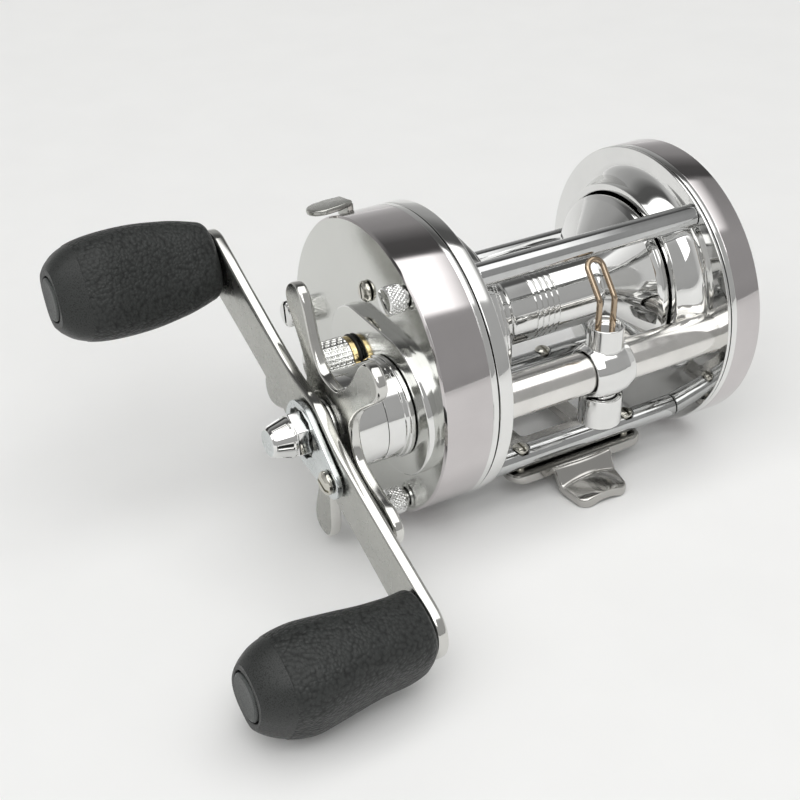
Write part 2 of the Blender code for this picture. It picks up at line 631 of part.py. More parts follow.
def star_wheel():
    """Five-armed drag star on its drum. Each arm narrows at its neck and ends in a rounded paddle."""
    arm = [(9.0, 4.4), (11.5, 3.0), (15.5, 2.5), (22.8, 3.7), (25.8, 3.0)]
    outline = []
    for i in range(5):
        side = [(u * MM, -v * MM) for u, v in arm]
        side += [(27.2 * MM, 0)]
        side += [(u * MM, v * MM) for u, v in reversed(arm)]
        outline += local(DRIVE_AXIS, side, STAR_FIRST_ARM + math.tau * i / 5)
    hole = circle(DRIVE_AXIS, 3.0 * MM, 16)
    star = add("star_drag", plate(outline, -56.6 * MM, -54.3 * MM, [hole]), "satin_nickel",
               axis_point(DRIVE_AXIS))
    join(star, "star_drum", ring(-54.8 * MM, -48.8 * MM, 3.0 * MM + GAP / 2, 9.5 * MM, DRIVE_AXIS))
    join(star, "star_hub", ring(-56.7 * MM, -54.2 * MM, 3.0 * MM + GAP / 2, 6.6 * MM, DRIVE_AXIS))


STAR_FIRST_ARM = math.radians(60.5)


def arm_outline():
    """Half widths along the arm, from one rounded end past the wide hub to the other."""
    end, waist, hub = 5.8 * MM, 5.2 * MM, 6.9 * MM
    right = circle((ARM_THROW, 0), end, 10, -math.pi / 2, math.pi)
    left = circle((-ARM_THROW, 0), end, 10, math.pi / 2, math.pi)
    bump = [(13 * MM, waist), (9 * MM, waist + 0.3 * MM), (5 * MM, hub - 0.4 * MM), (0, hub),
            (-5 * MM, hub - 0.4 * MM), (-9 * MM, waist + 0.3 * MM), (-13 * MM, waist)]
    return right + bump + left + [(-u, -v) for u, v in bump]


LOCK_REACH = -11.5 * MM


def handle():
    outline = local(DRIVE_AXIS, arm_outline(), ARM_ANGLE)
    ends = [polar(DRIVE_AXIS, side * ARM_THROW, ARM_ANGLE) for side in (1, -1)]
    lock_at = polar(DRIVE_AXIS, LOCK_REACH, ARM_ANGLE)
    holes = [circle(at, 1.9 * MM, COARSE) for at in ends]
    holes += [circle(DRIVE_AXIS, 2.6 * MM, 16), circle(lock_at, 1.1 * MM, COARSE)]
    add("handle_arm", plate(outline, -ARM_FAR, -ARM_NEAR, holes), "satin_nickel", axis_point(DRIVE_AXIS))

    near, far = -ARM_FAR - GAP, -ARM_FAR - GAP - 1.2 * MM
    outline = hull_of_circles(DRIVE_AXIS, 6.3 * MM, lock_at, 3.4 * MM, 16)
    holes = [circle(DRIVE_AXIS, 4.9 * MM, 12), circle(lock_at, 1.1 * MM, COARSE)]
    add("lock_plate", plate(outline, far, near, holes), "zinc", axis_point(DRIVE_AXIS))

    seat = far - GAP
    profile = [(-59.0 * MM, 0), (-59.0 * MM, 0.8 * MM), (seat, 0.8 * MM), (seat, 2.3 * MM),
               (seat - 0.6 * MM, 2.3 * MM), (seat - 1.2 * MM, 1.3 * MM), (seat - 1.2 * MM, 0)]
    screw = add("lock_screw", turned(profile, lock_at, 16), "satin_nickel", axis_point(DRIVE_AXIS))
    cut(screw, "lock_screw_slot",
        slot_across(seat - 2 * MM, seat - 0.7 * MM, 0.6 * MM, 3 * MM, lock_at, math.radians(20)))

    hexagon = local(DRIVE_AXIS, circle((0, 0), 4.6 * MM, 6), ARM_ANGLE)
    nut = add("handle_nut", plate(hexagon, -64.3 * MM, near, [circle(DRIVE_AXIS, 2.0 * MM, 16)]), "chrome",
              axis_point(DRIVE_AXIS))
    cone = [(-66.5 * MM, 0), (-66.5 * MM, 2.2 * MM), (-63.9 * MM, 2.2 * MM), (-63.9 * MM, 3.9 * MM),
            (-64.6 * MM, 3.9 * MM), (-68.3 * MM, 2.9 * MM), (-68.7 * MM, 2.5 * MM), (-68.7 * MM, 0)]
    join(nut, "nut_cone", turned(cone, DRIVE_AXIS, MEDIUM))


def knob_rings():
    """Outer sections of a grip: (x, half width, half depth, bow), slim at the arm and full near its end."""
    shape = [(60.9, 6.6, 6.0, 0), (61.5, 7.5, 6.7, 0), (63, 8.1, 7.05, 0.3), (68, 9.4, 7.1, 0.6),
             (73, 10.15, 7.45, 0.6), (78, 10.5, 8.15, 0.6), (83, 10.4, 8.8, 0.6), (88, 9.6, 8.1, 0.3),
             (90.5, 8.5, 7.15, 0), (92.4, 6.9, 5.95, 0)]
    rings = [(-x * MM, a * MM, b * MM, bow * MM) for x, a, b, bow in shape]
    return rings + [(-KNOB_END, 5.9 * MM, 5.3 * MM, 0)]


def squared_circle(half_width, half_depth, bow, steps, power=2.7):
    """An oval with flattened sides, moved towards one of them by bow."""
    points = []
    for i in range(steps):
        angle = math.tau * i / steps
        c, s = math.cos(angle), math.sin(angle)
        points.append((half_width * math.copysign(abs(c) ** (2 / power), c),
                       bow + half_depth * math.copysign(abs(s) ** (2 / power), s)))
    return points


def knobs():
    steps = 24
    for number, side in enumerate((1, -1), 1):
        axis = polar(DRIVE_AXIS, side * ARM_THROW, ARM_ANGLE)
        turn = KNOB_TURN[number - 1]
        rings = [[(x, y, z) for y, z in local(axis, squared_circle(a, b, bow, steps), turn)]
                 for x, a, b, bow in knob_rings()]
        pocket = KNOB_END - 2.6 * MM
        for x, radius in ((-KNOB_END, 4.6 * MM), (-pocket, 4.6 * MM), (-pocket, 1.9 * MM),
                          (-KNOB_START, 1.9 * MM)):
            rings.append([(x, y, z) for y, z in local(axis, circle((0, 0), radius, steps), turn)])
        add(f"knob_{number}", loft(rings, loop=True), "rubber", axis_point(axis))
        cap = [(-KNOB_END + 0.9 * MM, 0), (-KNOB_END + 0.9 * MM, 4.25 * MM), (-KNOB_END, 4.25 * MM),
               (-KNOB_END - 0.4 * MM, 3.7 * MM), (-KNOB_END - 0.4 * MM, 0)]
        add(f"knob_cap_{number}", turned(cap, axis, MEDIUM), "knob_cap", axis_point(axis))
        pin = [(-57.1, 0), (-57.1, 2.2), (-57.7, 2.7), (-57.7, 1.6), (-91.0, 1.6), (-91.0, 3.4),
               (-91.7, 3.4), (-91.7, 0)]
        add(f"knob_pin_{number}", turned([(x * MM, r * MM) for x, r in pin], axis, COARSE), "steel",
            axis_point(axis))


# ---------------------------------------------------------------- spool side


def spool():
    half = [(0, 7.4), (11.9, 7.4), (17.8, 17.2), (18.5, 18.0), (21.0, 18.0), (20.3, 16.8), (14.5, 6.6),
            (14.5, 4.2), (22.0, 4.2), (22.0, 2.2)]
    profile = [(-x, r) for x, r in reversed(half[1:])] + half[1:]
    round_piece("spool", profile, SPOOL_AXIS, "chrome", 36)
    shaft = [(-47.4, 0), (-47.4, 1.45), (-24.5, 1.45), (-24.5, 1.9), (24.5, 1.9), (24.5, 1.45),
             (32.9, 1.45), (32.9, 0)]
    made = round_piece("spool_shaft", shaft, SPOOL_AXIS, "steel", COARSE)
    pin = placed(rod(-2.9 * MM, 2.9 * MM, 0.5 * MM, steps=8), upright(-30.7 * MM, *SPOOL_AXIS))
    join(made, "drive_pin", pin)
    round_piece("bearing_handle_side", [(-41.3, 1.75), (-41.3, 4.1), (-39.0, 4.1), (-39.0, 1.75)],
                SPOOL_AXIS, "steel", 16)
    round_piece("bearing_palm_side", [(31.3, 1.75), (31.3, 4.1), (33.0, 4.1), (33.0, 1.75)],
                SPOOL_AXIS, "steel", 16)


def cast_brake():
    """Centrifugal brake: a carrier with two pins, a sliding block on each, and a fixed drum ring."""
    pin_x = 29.4 * MM
    carrier = round_piece("brake_carrier", [(28.2, 1.75), (28.2, 3.2), (30.6, 3.2), (30.6, 1.75)],
                          SPOOL_AXIS, "brass", 16)
    for number, side in enumerate((1, -1), 1):
        along = Matrix.Translation((pin_x, *SPOOL_AXIS)) @ Matrix.Rotation(side * math.pi / 2, 4, "Z")
        join(carrier, f"brake_pin_{number}", placed(rod(2.6 * MM, 10.4 * MM, 0.55 * MM, steps=8), along))
        add(f"brake_block_{number}", placed(ring(7.4 * MM, 10.0 * MM, 0.85 * MM, 1.5 * MM, steps=COARSE),
                                            along), "nylon")
    round_piece("brake_ring", [(27.9, 11.6), (27.9, 12.6), (33.0, 12.6), (33.0, 11.6)], SPOOL_AXIS,
                "steel", 32)


def cast_control():
    """Knurled knob that loads the spool's end, with its brass collar and O-ring."""
    round_piece("cast_control_knob",
                [(-51.2, 0), (-51.2, 3.4), (-45.0, 3.4), (-45.0, 4.0), (-45.3, 4.2), (-52.0, 4.1),
                 (-52.6, 3.5), (-52.6, 0)], SPOOL_AXIS, "chrome")
    round_piece("cast_control_collar", [(-44.1, 3.15), (-44.1, 3.9), (-44.8, 3.9), (-44.8, 3.15)],
                SPOOL_AXIS, "brass")
    round_piece("cast_control_o_ring",
                [(-43.1, 3.4), (-43.1, 3.95), (-43.3, 4.2), (-43.7, 4.2), (-43.9, 3.95), (-43.9, 3.4),
                 (-43.7, 3.2), (-43.3, 3.2)], SPOOL_AXIS, "rubber", 16)


# ---------------------------------------------------------------- level wind


WORM_RADIUS = 2.7 * MM
WORM_GROOVE = 0.7 * MM
WORM_HALF = 18.0 * MM
WORM_TURNS = 4


def worm_radius(x, angle):
    """The crossed right- and left-hand groove of the worm, in the stretch that the carriage covers."""
    if abs(x) > WORM_HALF:
        return WORM_RADIUS
    depth = 0.0
    for hand in (-1, 1):
        phase = angle - hand * math.tau * WORM_TURNS * x / (2 * WORM_HALF)
        depth = max(depth, math.cos(phase) - 0.55)
    return WORM_RADIUS - WORM_GROOVE * min(1.0, depth / 0.25)


def level_wind():
    tube = add("levelwind_tube", ring(-25.9 * MM, 25.9 * MM, 3.3 * MM, 4.15 * MM, WORM_AXIS, 24), "steel")
    slot = box((-19.5 * MM, -1.3 * MM, -6 * MM), (19.5 * MM, 1.3 * MM, -2 * MM))
    cut(tube, "levelwind_slot", placed(slot, Matrix.Translation((0, *WORM_AXIS))))

    steps, rows = COARSE, 36
    end, journal = 25.3 * MM, 1.2 * MM
    rings = [[(-33.5 * MM, y, z) for y, z in circle(WORM_AXIS, journal, steps)],
             [(-end, y, z) for y, z in circle(WORM_AXIS, journal, steps)]]
    for i in range(rows + 1):
        x = -24.6 * MM + 49.2 * MM * i / rows
        rings.append([(x, *polar(WORM_AXIS, worm_radius(x, math.tau * k / steps), math.tau * k / steps))
                      for k in range(steps)])
    rings.append([(end, y, z) for y, z in circle(WORM_AXIS, journal, steps)])
    rings.append([(27.0 * MM, y, z) for y, z in circle(WORM_AXIS, journal, steps)])
    add("worm_shaft", loft(rings), "steel", axis_point(WORM_AXIS))


CARRIAGE_X = -0.8 * MM          # where the carriage stands on its tube
CUP_TOP = 9.7 * MM
CARRIAGE_FOOT = -7.2 * MM


def carriage():
    """Line-guide carriage: a ball-shaped collar on the tube, an open cup above and a stub below."""
    half = [(0, 5.8), (2.8, 5.55), (4.6, 4.8), (4.6, 4.5)]
    middle = CARRIAGE_X / MM
    bulge = [(middle - x, r) for x, r in reversed(half[1:])] + [(middle + x, r) for x, r in half]
    made = round_piece("levelwind_carriage", bulge, WORM_AXIS, "chrome")
    at = upright(CARRIAGE_X, *WORM_AXIS)
    cup = [(4.9 * MM, 0), (4.9 * MM, 3.6 * MM), (CUP_TOP, 3.6 * MM), (CUP_TOP, 3.15 * MM),
           (CUP_TOP - 0.8 * MM, 2.95 * MM), (CUP_TOP - 0.8 * MM, 0)]
    join(made, "carriage_cup", placed(turned(cup, steps=MEDIUM), at))
    stub = [(CARRIAGE_FOOT, 0), (CARRIAGE_FOOT, 3.1 * MM), (-5.2 * MM, 3.1 * MM), (-5.2 * MM, 0)]
    join(made, "carriage_stub", placed(turned(stub, steps=MEDIUM), at))
    cut(made, "carriage_bore", drill(-6 * MM, 6 * MM, 4.5 * MM, WORM_AXIS, MEDIUM))
    cut(made, "pawl_bore", placed(drill(-9 * MM, -3.5 * MM, 2.0 * MM), at))
    for side in (-1, 1):
        place = upright(CARRIAGE_X + side * WIRE_HALF, WORM_AXIS[0] + WIRE_BACK, WORM_AXIS[1])
        socket = placed(rod(5.6 * MM, 11 * MM, 0.95 * MM, steps=8), place)
        cut(made, f"wire_socket_{side}", socket)

    pawl = [(-7.1, 0), (-7.1, 1.7), (-4.6, 1.7), (-4.3, 1.0), (-3.1, 1.0), (-3.1, 0)]
    bm = placed(turned([(x * MM, r * MM) for x, r in pawl], steps=COARSE), at)
    add("pawl", bm, "steel", axis_point(WORM_AXIS))
    cap = [(-12.5, 0), (-12.5, 3.6), (-11.9, 4.3), (-5.7, 4.3), (-5.7, 3.4), (-7.5, 3.4), (-7.5, 0)]
    bm = placed(turned([(x * MM, r * MM) for x, r in cap], steps=MEDIUM), at)
    add("pawl_cap", bm, "chrome", axis_point(WORM_AXIS))


WIRE_RADIUS = 0.6 * MM
WIRE_HALF = 1.75 * MM
WIRE_BACK = 0.3 * MM            # the legs stand a little behind the middle of the cup


def wire_guide():
    """One wire bent to an upright hairpin: two legs out of the cup, leaning back above, closed on top."""
    y0, z0 = WORM_AXIS[0] + WIRE_BACK, WORM_AXIS[1]
    foot, knee, top = z0 + 6.2 * MM, z0 + 14.8 * MM, (y0 + 5.4 * MM, z0 + 21.0 * MM)
    lean = Vector((0, top[0] - y0, top[1] - knee)).normalized()
    side = [Vector((0, y0, foot)), Vector((0, y0, foot + 4 * MM)), Vector((0, y0, knee - 1.2 * MM))]
    side += [Vector((0, y0, knee)) + 0.35 * MM * lean, Vector((0, *top)) - 2.5 * MM * lean]
    right = [point + Vector((WIRE_HALF, 0, 0)) for point in side]
    left = [point + Vector((-WIRE_HALF, 0, 0)) for point in reversed(side)]
    middle = Vector((0, *top)) - WIRE_HALF * lean
    bow = [middle + WIRE_HALF * (math.cos(a) * Vector((1, 0, 0)) + math.sin(a) * lean)
           for a in (math.pi * i / 6 for i in range(7))]
    path = right + bow + left
    rings = []
    for i, point in enumerate(path):
        before, after = path[max(i - 1, 0)], path[min(i + 1, len(path) - 1)]
        tangent = (after - before).normalized()
        across = tangent.cross(Vector((0, lean.z, -lean.y))).normalized()
        other = tangent.cross(across).normalized()
        middle = point + Vector((CARRIAGE_X, 0, 0))
        rings.append([middle + WIRE_RADIUS * (math.cos(a) * across + math.sin(a) * other)
                      for a in (math.tau * k / 8 for k in range(8))])
    add("wire_guide", loft(rings), "bronze", axis_point(WORM_AXIS))


def build():
    clear_scene()
    for make in (frame_ring, frame_plate, pillars, reel_foot, foot_screws, handle_cover, palm_cover,
                 thumbscrews, cover_screw, bridge_plate, drive_shaft, drag_stack,
                 drive_housing, gears, clutch, star_wheel, handle, knobs, spool, cast_brake,
                 cast_control, level_wind, carriage, wire_guide):
        make()


build()
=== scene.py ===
"""Looks of the round baitcasting reel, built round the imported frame.

X runs along the spool with the handle at -X, -Y points to the rod tip and +Z is up. Shapes are drawn in
millimetres and scaled to metres when a piece is made. The studio is laid out in metres.
"""

import json
import math

import bmesh
import bpy
import numpy as np
from mathutils import Matrix, Vector


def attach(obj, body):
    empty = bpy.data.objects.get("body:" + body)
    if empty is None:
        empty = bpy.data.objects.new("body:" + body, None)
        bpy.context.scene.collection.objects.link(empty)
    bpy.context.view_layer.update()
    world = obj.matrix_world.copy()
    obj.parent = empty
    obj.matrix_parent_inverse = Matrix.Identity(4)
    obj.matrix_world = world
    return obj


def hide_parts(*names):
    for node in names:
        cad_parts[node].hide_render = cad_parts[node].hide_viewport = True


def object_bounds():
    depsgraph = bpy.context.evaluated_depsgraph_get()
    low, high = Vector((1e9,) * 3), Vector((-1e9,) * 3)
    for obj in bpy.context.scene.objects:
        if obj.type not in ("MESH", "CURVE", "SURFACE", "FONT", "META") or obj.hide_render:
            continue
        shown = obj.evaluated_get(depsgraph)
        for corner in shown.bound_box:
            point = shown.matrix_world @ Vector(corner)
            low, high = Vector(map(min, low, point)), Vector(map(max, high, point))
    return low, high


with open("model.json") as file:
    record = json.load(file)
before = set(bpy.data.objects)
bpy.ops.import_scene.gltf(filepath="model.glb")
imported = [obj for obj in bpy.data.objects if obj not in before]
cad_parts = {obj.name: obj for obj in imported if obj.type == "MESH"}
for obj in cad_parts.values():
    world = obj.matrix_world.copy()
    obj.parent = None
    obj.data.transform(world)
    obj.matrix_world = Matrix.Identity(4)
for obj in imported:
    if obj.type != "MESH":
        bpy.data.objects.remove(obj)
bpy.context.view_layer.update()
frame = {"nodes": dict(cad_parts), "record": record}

MM = 0.001
RECORD = frame["record"]
BODY_OF = {node: body for body, nodes in RECORD["behaviour"]["bodies"].items() for node in nodes}

# Axes that run along X, as (y, z).
PLATE = (0.0, 26.7)
SPOOL = (0.0, 30.2)
DRIVE = (-13.8070, 26.1102)
WORM = (-24.0320, 26.8252)
FRONT_PILLAR = (-15.2, 49.3)
REAR_PILLAR = (26.6, 26.7)
FRONT_BAR = (-15.1, 4.5)
REAR_BAR = (15.1, 4.5)

# Sizes that several pieces share.
HALF_GAP = 25.7                     # from the reel's middle to each side plate
COLLAR_REACH = 5.5                  # how far each dished lip stands into that gap
PLATE_RADIUS = 30.0
BAND_RADIUS = 29.85                 # faces outside this radius belong to a cover's painted band
CARRIAGE_X = -0.8
FOOT_SCREW_X = 13.2                 # from the reel's middle to each foot screw
BAR_HALF_WIDTH = 3.4                # of the foot's arms along the bars
BLADE_ROOT = REAR_BAR[0] + BAR_HALF_WIDTH
FOOT_TIP = 27.5
SCREW_SEAT = -40.9                  # where the cover's screw heads rest
ARM_ANGLE = math.radians(23.5)
ARM_THROW = 44.0                    # from the drive axis to each grip's axis
SMOOTH_ANGLE = math.radians(34)     # edges sharper than this stay crisp
CRISP_ANGLE = math.radians(60)      # the same on knurled pieces


# ---------------------------------------------------------------- shapes


def fillet(points, radius=0.3, steps=3):
    """Rounds the corners of a closed outline. A point may carry its own radius as a third number."""
    made = []
    count = len(points)
    for i, point in enumerate(points):
        a = np.array(points[i - 1][:2], float)
        b = np.array(point[:2], float)
        c = np.array(points[(i + 1) % count][:2], float)
        r = point[2] if len(point) > 2 else radius
        back, ahead = a - b, c - b
        la, lc = np.linalg.norm(back), np.linalg.norm(ahead)
        if r <= 0 or la < 1e-6 or lc < 1e-6:
            made.append(tuple(b))
            continue
        back, ahead = back / la, ahead / lc
        turn = math.acos(max(-1.0, min(1.0, float(back @ ahead))))
        if turn > math.radians(176) or turn < math.radians(4):
            made.append(tuple(b))
            continue
        cut = min(r / math.tan(turn / 2), 0.45 * la, 0.45 * lc)
        start, end = b + back * cut, b + ahead * cut
        for k in range(steps + 1):
            t = k / steps
            made.append(tuple((1 - t) ** 2 * start + 2 * t * (1 - t) * b + t * t * end))
    return made


def circle(centre, radius, steps, start=0.0, sweep=math.tau):
    """Points round a circle, or along an arc with both ends when sweep is less than a full turn."""
    count = steps if sweep == math.tau else steps + 1
    return [(centre[0] + radius * math.cos(start + sweep * i / steps),
             centre[1] + radius * math.sin(start + sweep * i / steps)) for i in range(count)]


def between(p, t):
    """A point of a Catmull-Rom curve, a share t of the way from p[1] to p[2]."""
    return 0.5 * (2 * p[1] + (p[2] - p[0]) * t + (2 * p[0] - 5 * p[1] + 4 * p[2] - p[3]) * t * t
                  + (3 * p[1] - p[0] - 3 * p[2] + p[3]) * t ** 3)


def smooth_loop(points, per):
    """A closed smooth curve through the points."""
    made = []
    count = len(points)
    for i in range(count):
        p = [np.array(points[(i + k) % count], float) for k in (-1, 0, 1, 2)]
        made += [tuple(between(p, k / per)) for k in range(per)]
    return made


def smooth_path(points, per):
    """An open smooth curve through the points."""
    ends = [2 * points[0] - points[1], *points, 2 * points[-1] - points[-2]]
    made = []
    for i in range(1, len(ends) - 2):
        made += [between(ends[i - 1:i + 3], k / per) for k in range(per)]
    return made + [points[-1]]


def local(axis, points, angle):
    """Points given round an axis, turned and moved to their place across X."""
    c, s = math.cos(angle), math.sin(angle)
    return [(axis[0] + u * c - v * s, axis[1] + u * s + v * c) for u, v in points]


def polar(axis, radius, angle):
    """The point at a radius and an angle round an axis."""
    return (axis[0] + radius * math.cos(angle), axis[1] + radius * math.sin(angle))


def hull_of_circles(first, r1, second, r2, steps):
    """The teardrop outline round two circles."""
    dy, dz = second[0] - first[0], second[1] - first[1]
    along = math.atan2(dz, dy)
    lean = math.acos((r1 - r2) / math.hypot(dy, dz))
    big = circle(first, r1, steps, along + lean, math.tau - 2 * lean)
    small = circle(second, r2, steps // 2, along - lean, 2 * lean)
    return big + small


def bridge(bm, first, second):
    """Faces between two closed rows of vertices."""
    for i in range(len(first)):
        j = (i + 1) % len(first)
        bm.faces.new((first[i], first[j], second[j], second[i]))


def skin(rows, closed=True, caps=False, tips=()):
    """Faces between rows of points. With closed, the last row meets the first. Two tips close the end rows,
    and with caps the tips are the middles of those rows."""
    bm = bmesh.new()
    made = [[bm.verts.new(point) for point in row] for row in rows]
    for first, second in zip(made, made[1:]):
        bridge(bm, first, second)
    if closed:
        bridge(bm, made[-1], made[0])
    if caps:
        tips = [sum((v.co for v in row), Vector()) / len(row) for row in (made[0], made[-1])]
    for row, tip in zip((made[0], made[-1]), tips):
        middle = bm.verts.new(tip)
        for i in range(len(row)):
            bm.faces.new((row[i], row[(i + 1) % len(row)], middle))
    return bm


def lathe(profile, centre=(0, 0), steps=96, radius=0.25, wave=None):
    """Turns a closed (x, radius) outline round an axis along X. Two ends at radius 0 close it on the axis.
    wave(x, r, angle) may give each point its own radius."""
    first, last = profile[0], profile[-1]
    solid = first[1] == 0 and last[1] == 0
    if solid:
        # The end faces run on past the axis while the corners are rounded, and are cut off there.
        inner = fillet([(first[0], -5.0, 0), *profile[1:-1], (last[0], -5.0, 0)], radius)
        outline = [point for point in inner if point[1] > 0]
    else:
        outline = fillet(profile, radius)
    rows = []
    for x, r in outline:
        row = []
        for k in range(steps):
            angle = math.tau * k / steps
            reach = wave(x, r, angle) if wave else r
            row.append((x, centre[0] + reach * math.cos(angle), centre[1] + reach * math.sin(angle)))
        rows.append(row)
    tips = [(end[0], *centre) for end in (first, last)] if solid else ()
    return skin(rows, closed=not solid, tips=tips)


def offset(outline, distance):
    """Moves an outline inwards (or a hole's outline outwards) along its corner normals."""
    points = np.array(outline, float)
    before, after = np.roll(points, 1, 0), np.roll(points, -1, 0)
    area = 0.5 * np.sum(points[:, 0] * after[:, 1] - after[:, 0] * points[:, 1])
    tangent = after - before
    tangent /= np.maximum(np.linalg.norm(tangent, axis=1), 1e-9)[:, None]
    normal = np.stack([-tangent[:, 1], tangent[:, 0]], 1) * (1 if area > 0 else -1)
    return points + normal * distance


def plate(outline, low, high, holes=(), edge=0.3, hole_edge=0.12, steps=3):
    """A flat plate across X between two stations, with rounded edges round its outline and its holes."""
    bm = bmesh.new()
    rims = ([], [])
    for points, inward, r in [(outline, 1, edge)] + [(hole, -1, hole_edge) for hole in holes]:
        # The rows run from one flat face's rim over the edge to the other face's rim.
        arc = [math.pi / 2 * k / steps for k in range(steps, -1, -1)]
        rows = [(low + r * (1 - math.sin(a)), r * (1 - math.cos(a))) for a in arc]
        rows += [(high - (x - low), inset) for x, inset in reversed(rows)]
        made = [[bm.verts.new((x, y, z)) for y, z in offset(points, inward * inset)] for x, inset in rows]
        for first, second in zip(made, made[1:]):
            bridge(bm, first, second)
        rims[0].append(made[0])
        rims[1].append(made[-1])
    for loops in rims:
        edges = []
        for loop in loops:
            for i in range(len(loop)):
                found = bm.edges.get((loop[i - 1], loop[i]))
                edges.append(found or bm.edges.new((loop[i - 1], loop[i])))
        bmesh.ops.triangle_fill(bm, use_beauty=True, edges=edges)
    return bm


def box(low, high):
    """A box between two corners, for cutters and the floor."""
    low, high = Vector(low), Vector(high)
    bm = bmesh.new()
    bmesh.ops.create_cube(bm, size=1)
    bmesh.ops.scale(bm, verts=bm.verts, vec=high - low)
    bmesh.ops.translate(bm, verts=bm.verts, vec=(high + low) / 2)
    return bm


def placed(bm, matrix):
    """Moves a shape by a matrix."""
    bmesh.ops.transform(bm, matrix=matrix, verts=bm.verts)
    return bm


def upright(x, y, z):
    """Turns a shape's X axis to +Z and moves its origin to the point."""
    return Matrix.Translation((x, y, z)) @ Matrix.Rotation(-math.pi / 2, 4, "Y")


def spun(at, angle):
    """Turns a shape about its X axis and moves that axis to (y, z)."""
    return Matrix.Translation((0, *at)) @ Matrix.Rotation(angle, 4, "X")


def driver_slot(low, high, half_width, place):
    """The cutter of a screwdriver's slot across a screw head."""
    return placed(box((low, -3, -half_width), (high, 3, half_width)), place)


def joined(*shapes):
    """Puts several closed shapes in one mesh."""
    first = shapes[0]
    for other in shapes[1:]:
        mesh = bpy.data.meshes.new("scratch")
        other.to_mesh(mesh)
        other.free()
        first.from_mesh(mesh)
        bpy.data.meshes.remove(mesh)
    return first


def tube(path, radius, steps=16):
    """A round bar along a path of points."""
    rows = []
    side = Vector((1, 0, 0))
    for i, point in enumerate(path):
        along = (path[min(i + 1, len(path) - 1)] - path[max(i - 1, 0)]).normalized()
        side = side - along * side.dot(along)
        side = side.normalized() if side.length > 1e-4 else along.orthogonal().normalized()
        other = along.cross(side).normalized()
        rows.append([point + radius * (math.cos(a) * side + math.sin(a) * other)
                     for a in (math.tau * k / steps for k in range(steps))])
    return skin(rows, closed=False, caps=True)


# ---------------------------------------------------------------- materials


def new_material(name):
    """A material with its node tree and its shader."""
    material = bpy.data.materials.new(name)
    material.use_nodes = True
    return material, material.node_tree, material.node_tree.nodes["Principled BSDF"]


def arithmetic(tree, operation, *inputs):
    """A Math node fed by sockets and numbers."""
    made = tree.nodes.new("ShaderNodeMath")
    made.operation = operation
    for socket, value in zip(made.inputs, inputs):
        if isinstance(value, float):
            socket.default_value = value
        else:
            tree.links.new(value, socket)
    return made.outputs[0]


def ramp(tree, source, stops):
    """Colours at places along a source, blended between them."""
    made = tree.nodes.new("ShaderNodeValToRGB")
    while len(made.color_ramp.elements) < len(stops):
        made.color_ramp.elements.new(0.5)
    for element, (at, colour) in zip(made.color_ramp.elements, stops):
        element.position = at
        element.color = (*colour, 1)
    tree.links.new(source, made.inputs["Fac"])
    return made.outputs["Color"]


def texture(tree, kind, scale, stretch=(1, 1, 1), detail=3.0):
    """A noise or Voronoi texture in the piece's own coordinates, with scale in cells per metre."""
    coordinates = tree.nodes.new("ShaderNodeTexCoord")
    mapping = tree.nodes.new("ShaderNodeMapping")
    mapping.inputs["Scale"].default_value = stretch
    tree.links.new(coordinates.outputs["Object"], mapping.inputs["Vector"])
    made = tree.nodes.new(f"ShaderNodeTex{kind}")
    made.inputs["Scale"].default_value = scale
    if kind == "Noise":
        made.inputs["Detail"].default_value = detail
        made.inputs["Roughness"].default_value = 0.55
    tree.links.new(mapping.outputs["Vector"], made.inputs["Vector"])
    return made


def bump(tree, shader, height, strength, distance, under=None):
    """Relief from a height, on top of the relief under it if there is one."""
    made = tree.nodes.new("ShaderNodeBump")
    made.inputs["Strength"].default_value = strength
    made.inputs["Distance"].default_value = distance
    tree.links.new(height, made.inputs["Height"])
    if under is not None:
        tree.links.new(under, made.inputs["Normal"])
    tree.links.new(made.outputs["Normal"], shader.inputs["Normal"])
    return made.outputs["Normal"]


def scaled(colour, share):
    """A colour made lighter or darker."""
    return tuple(min(1.0, c * share) for c in colour)


def metal(name, colour, rough, spread=0.03, tint=0.05, brush=(1, 1, 1), grain=0.0, grain_scale=2600):
    """A named metal with slightly uneven tone and polish. brush stretches its fine grain along one axis."""
    material, tree, shader = new_material(name)
    shader.inputs["Metallic"].default_value = 1.0
    cloud = texture(tree, "Noise", 160, detail=4)
    tone = ramp(tree, cloud.outputs["Fac"],
                [(0.35, scaled(colour, 1 - tint)), (0.65, scaled(colour, 1 + tint))])
    tree.links.new(tone, shader.inputs["Base Color"])
    smear = texture(tree, "Noise", 420, detail=5)
    low, high = max(0.0, rough - spread), rough + spread
    polish = ramp(tree, smear.outputs["Fac"], [(0.35, (low,) * 3), (0.68, (high,) * 3)])
    tree.links.new(polish, shader.inputs["Roughness"])
    if grain:
        lines = texture(tree, "Noise", grain_scale, stretch=brush, detail=2)
        bump(tree, shader, lines.outputs["Fac"], grain, 0.00004)
    return name, material


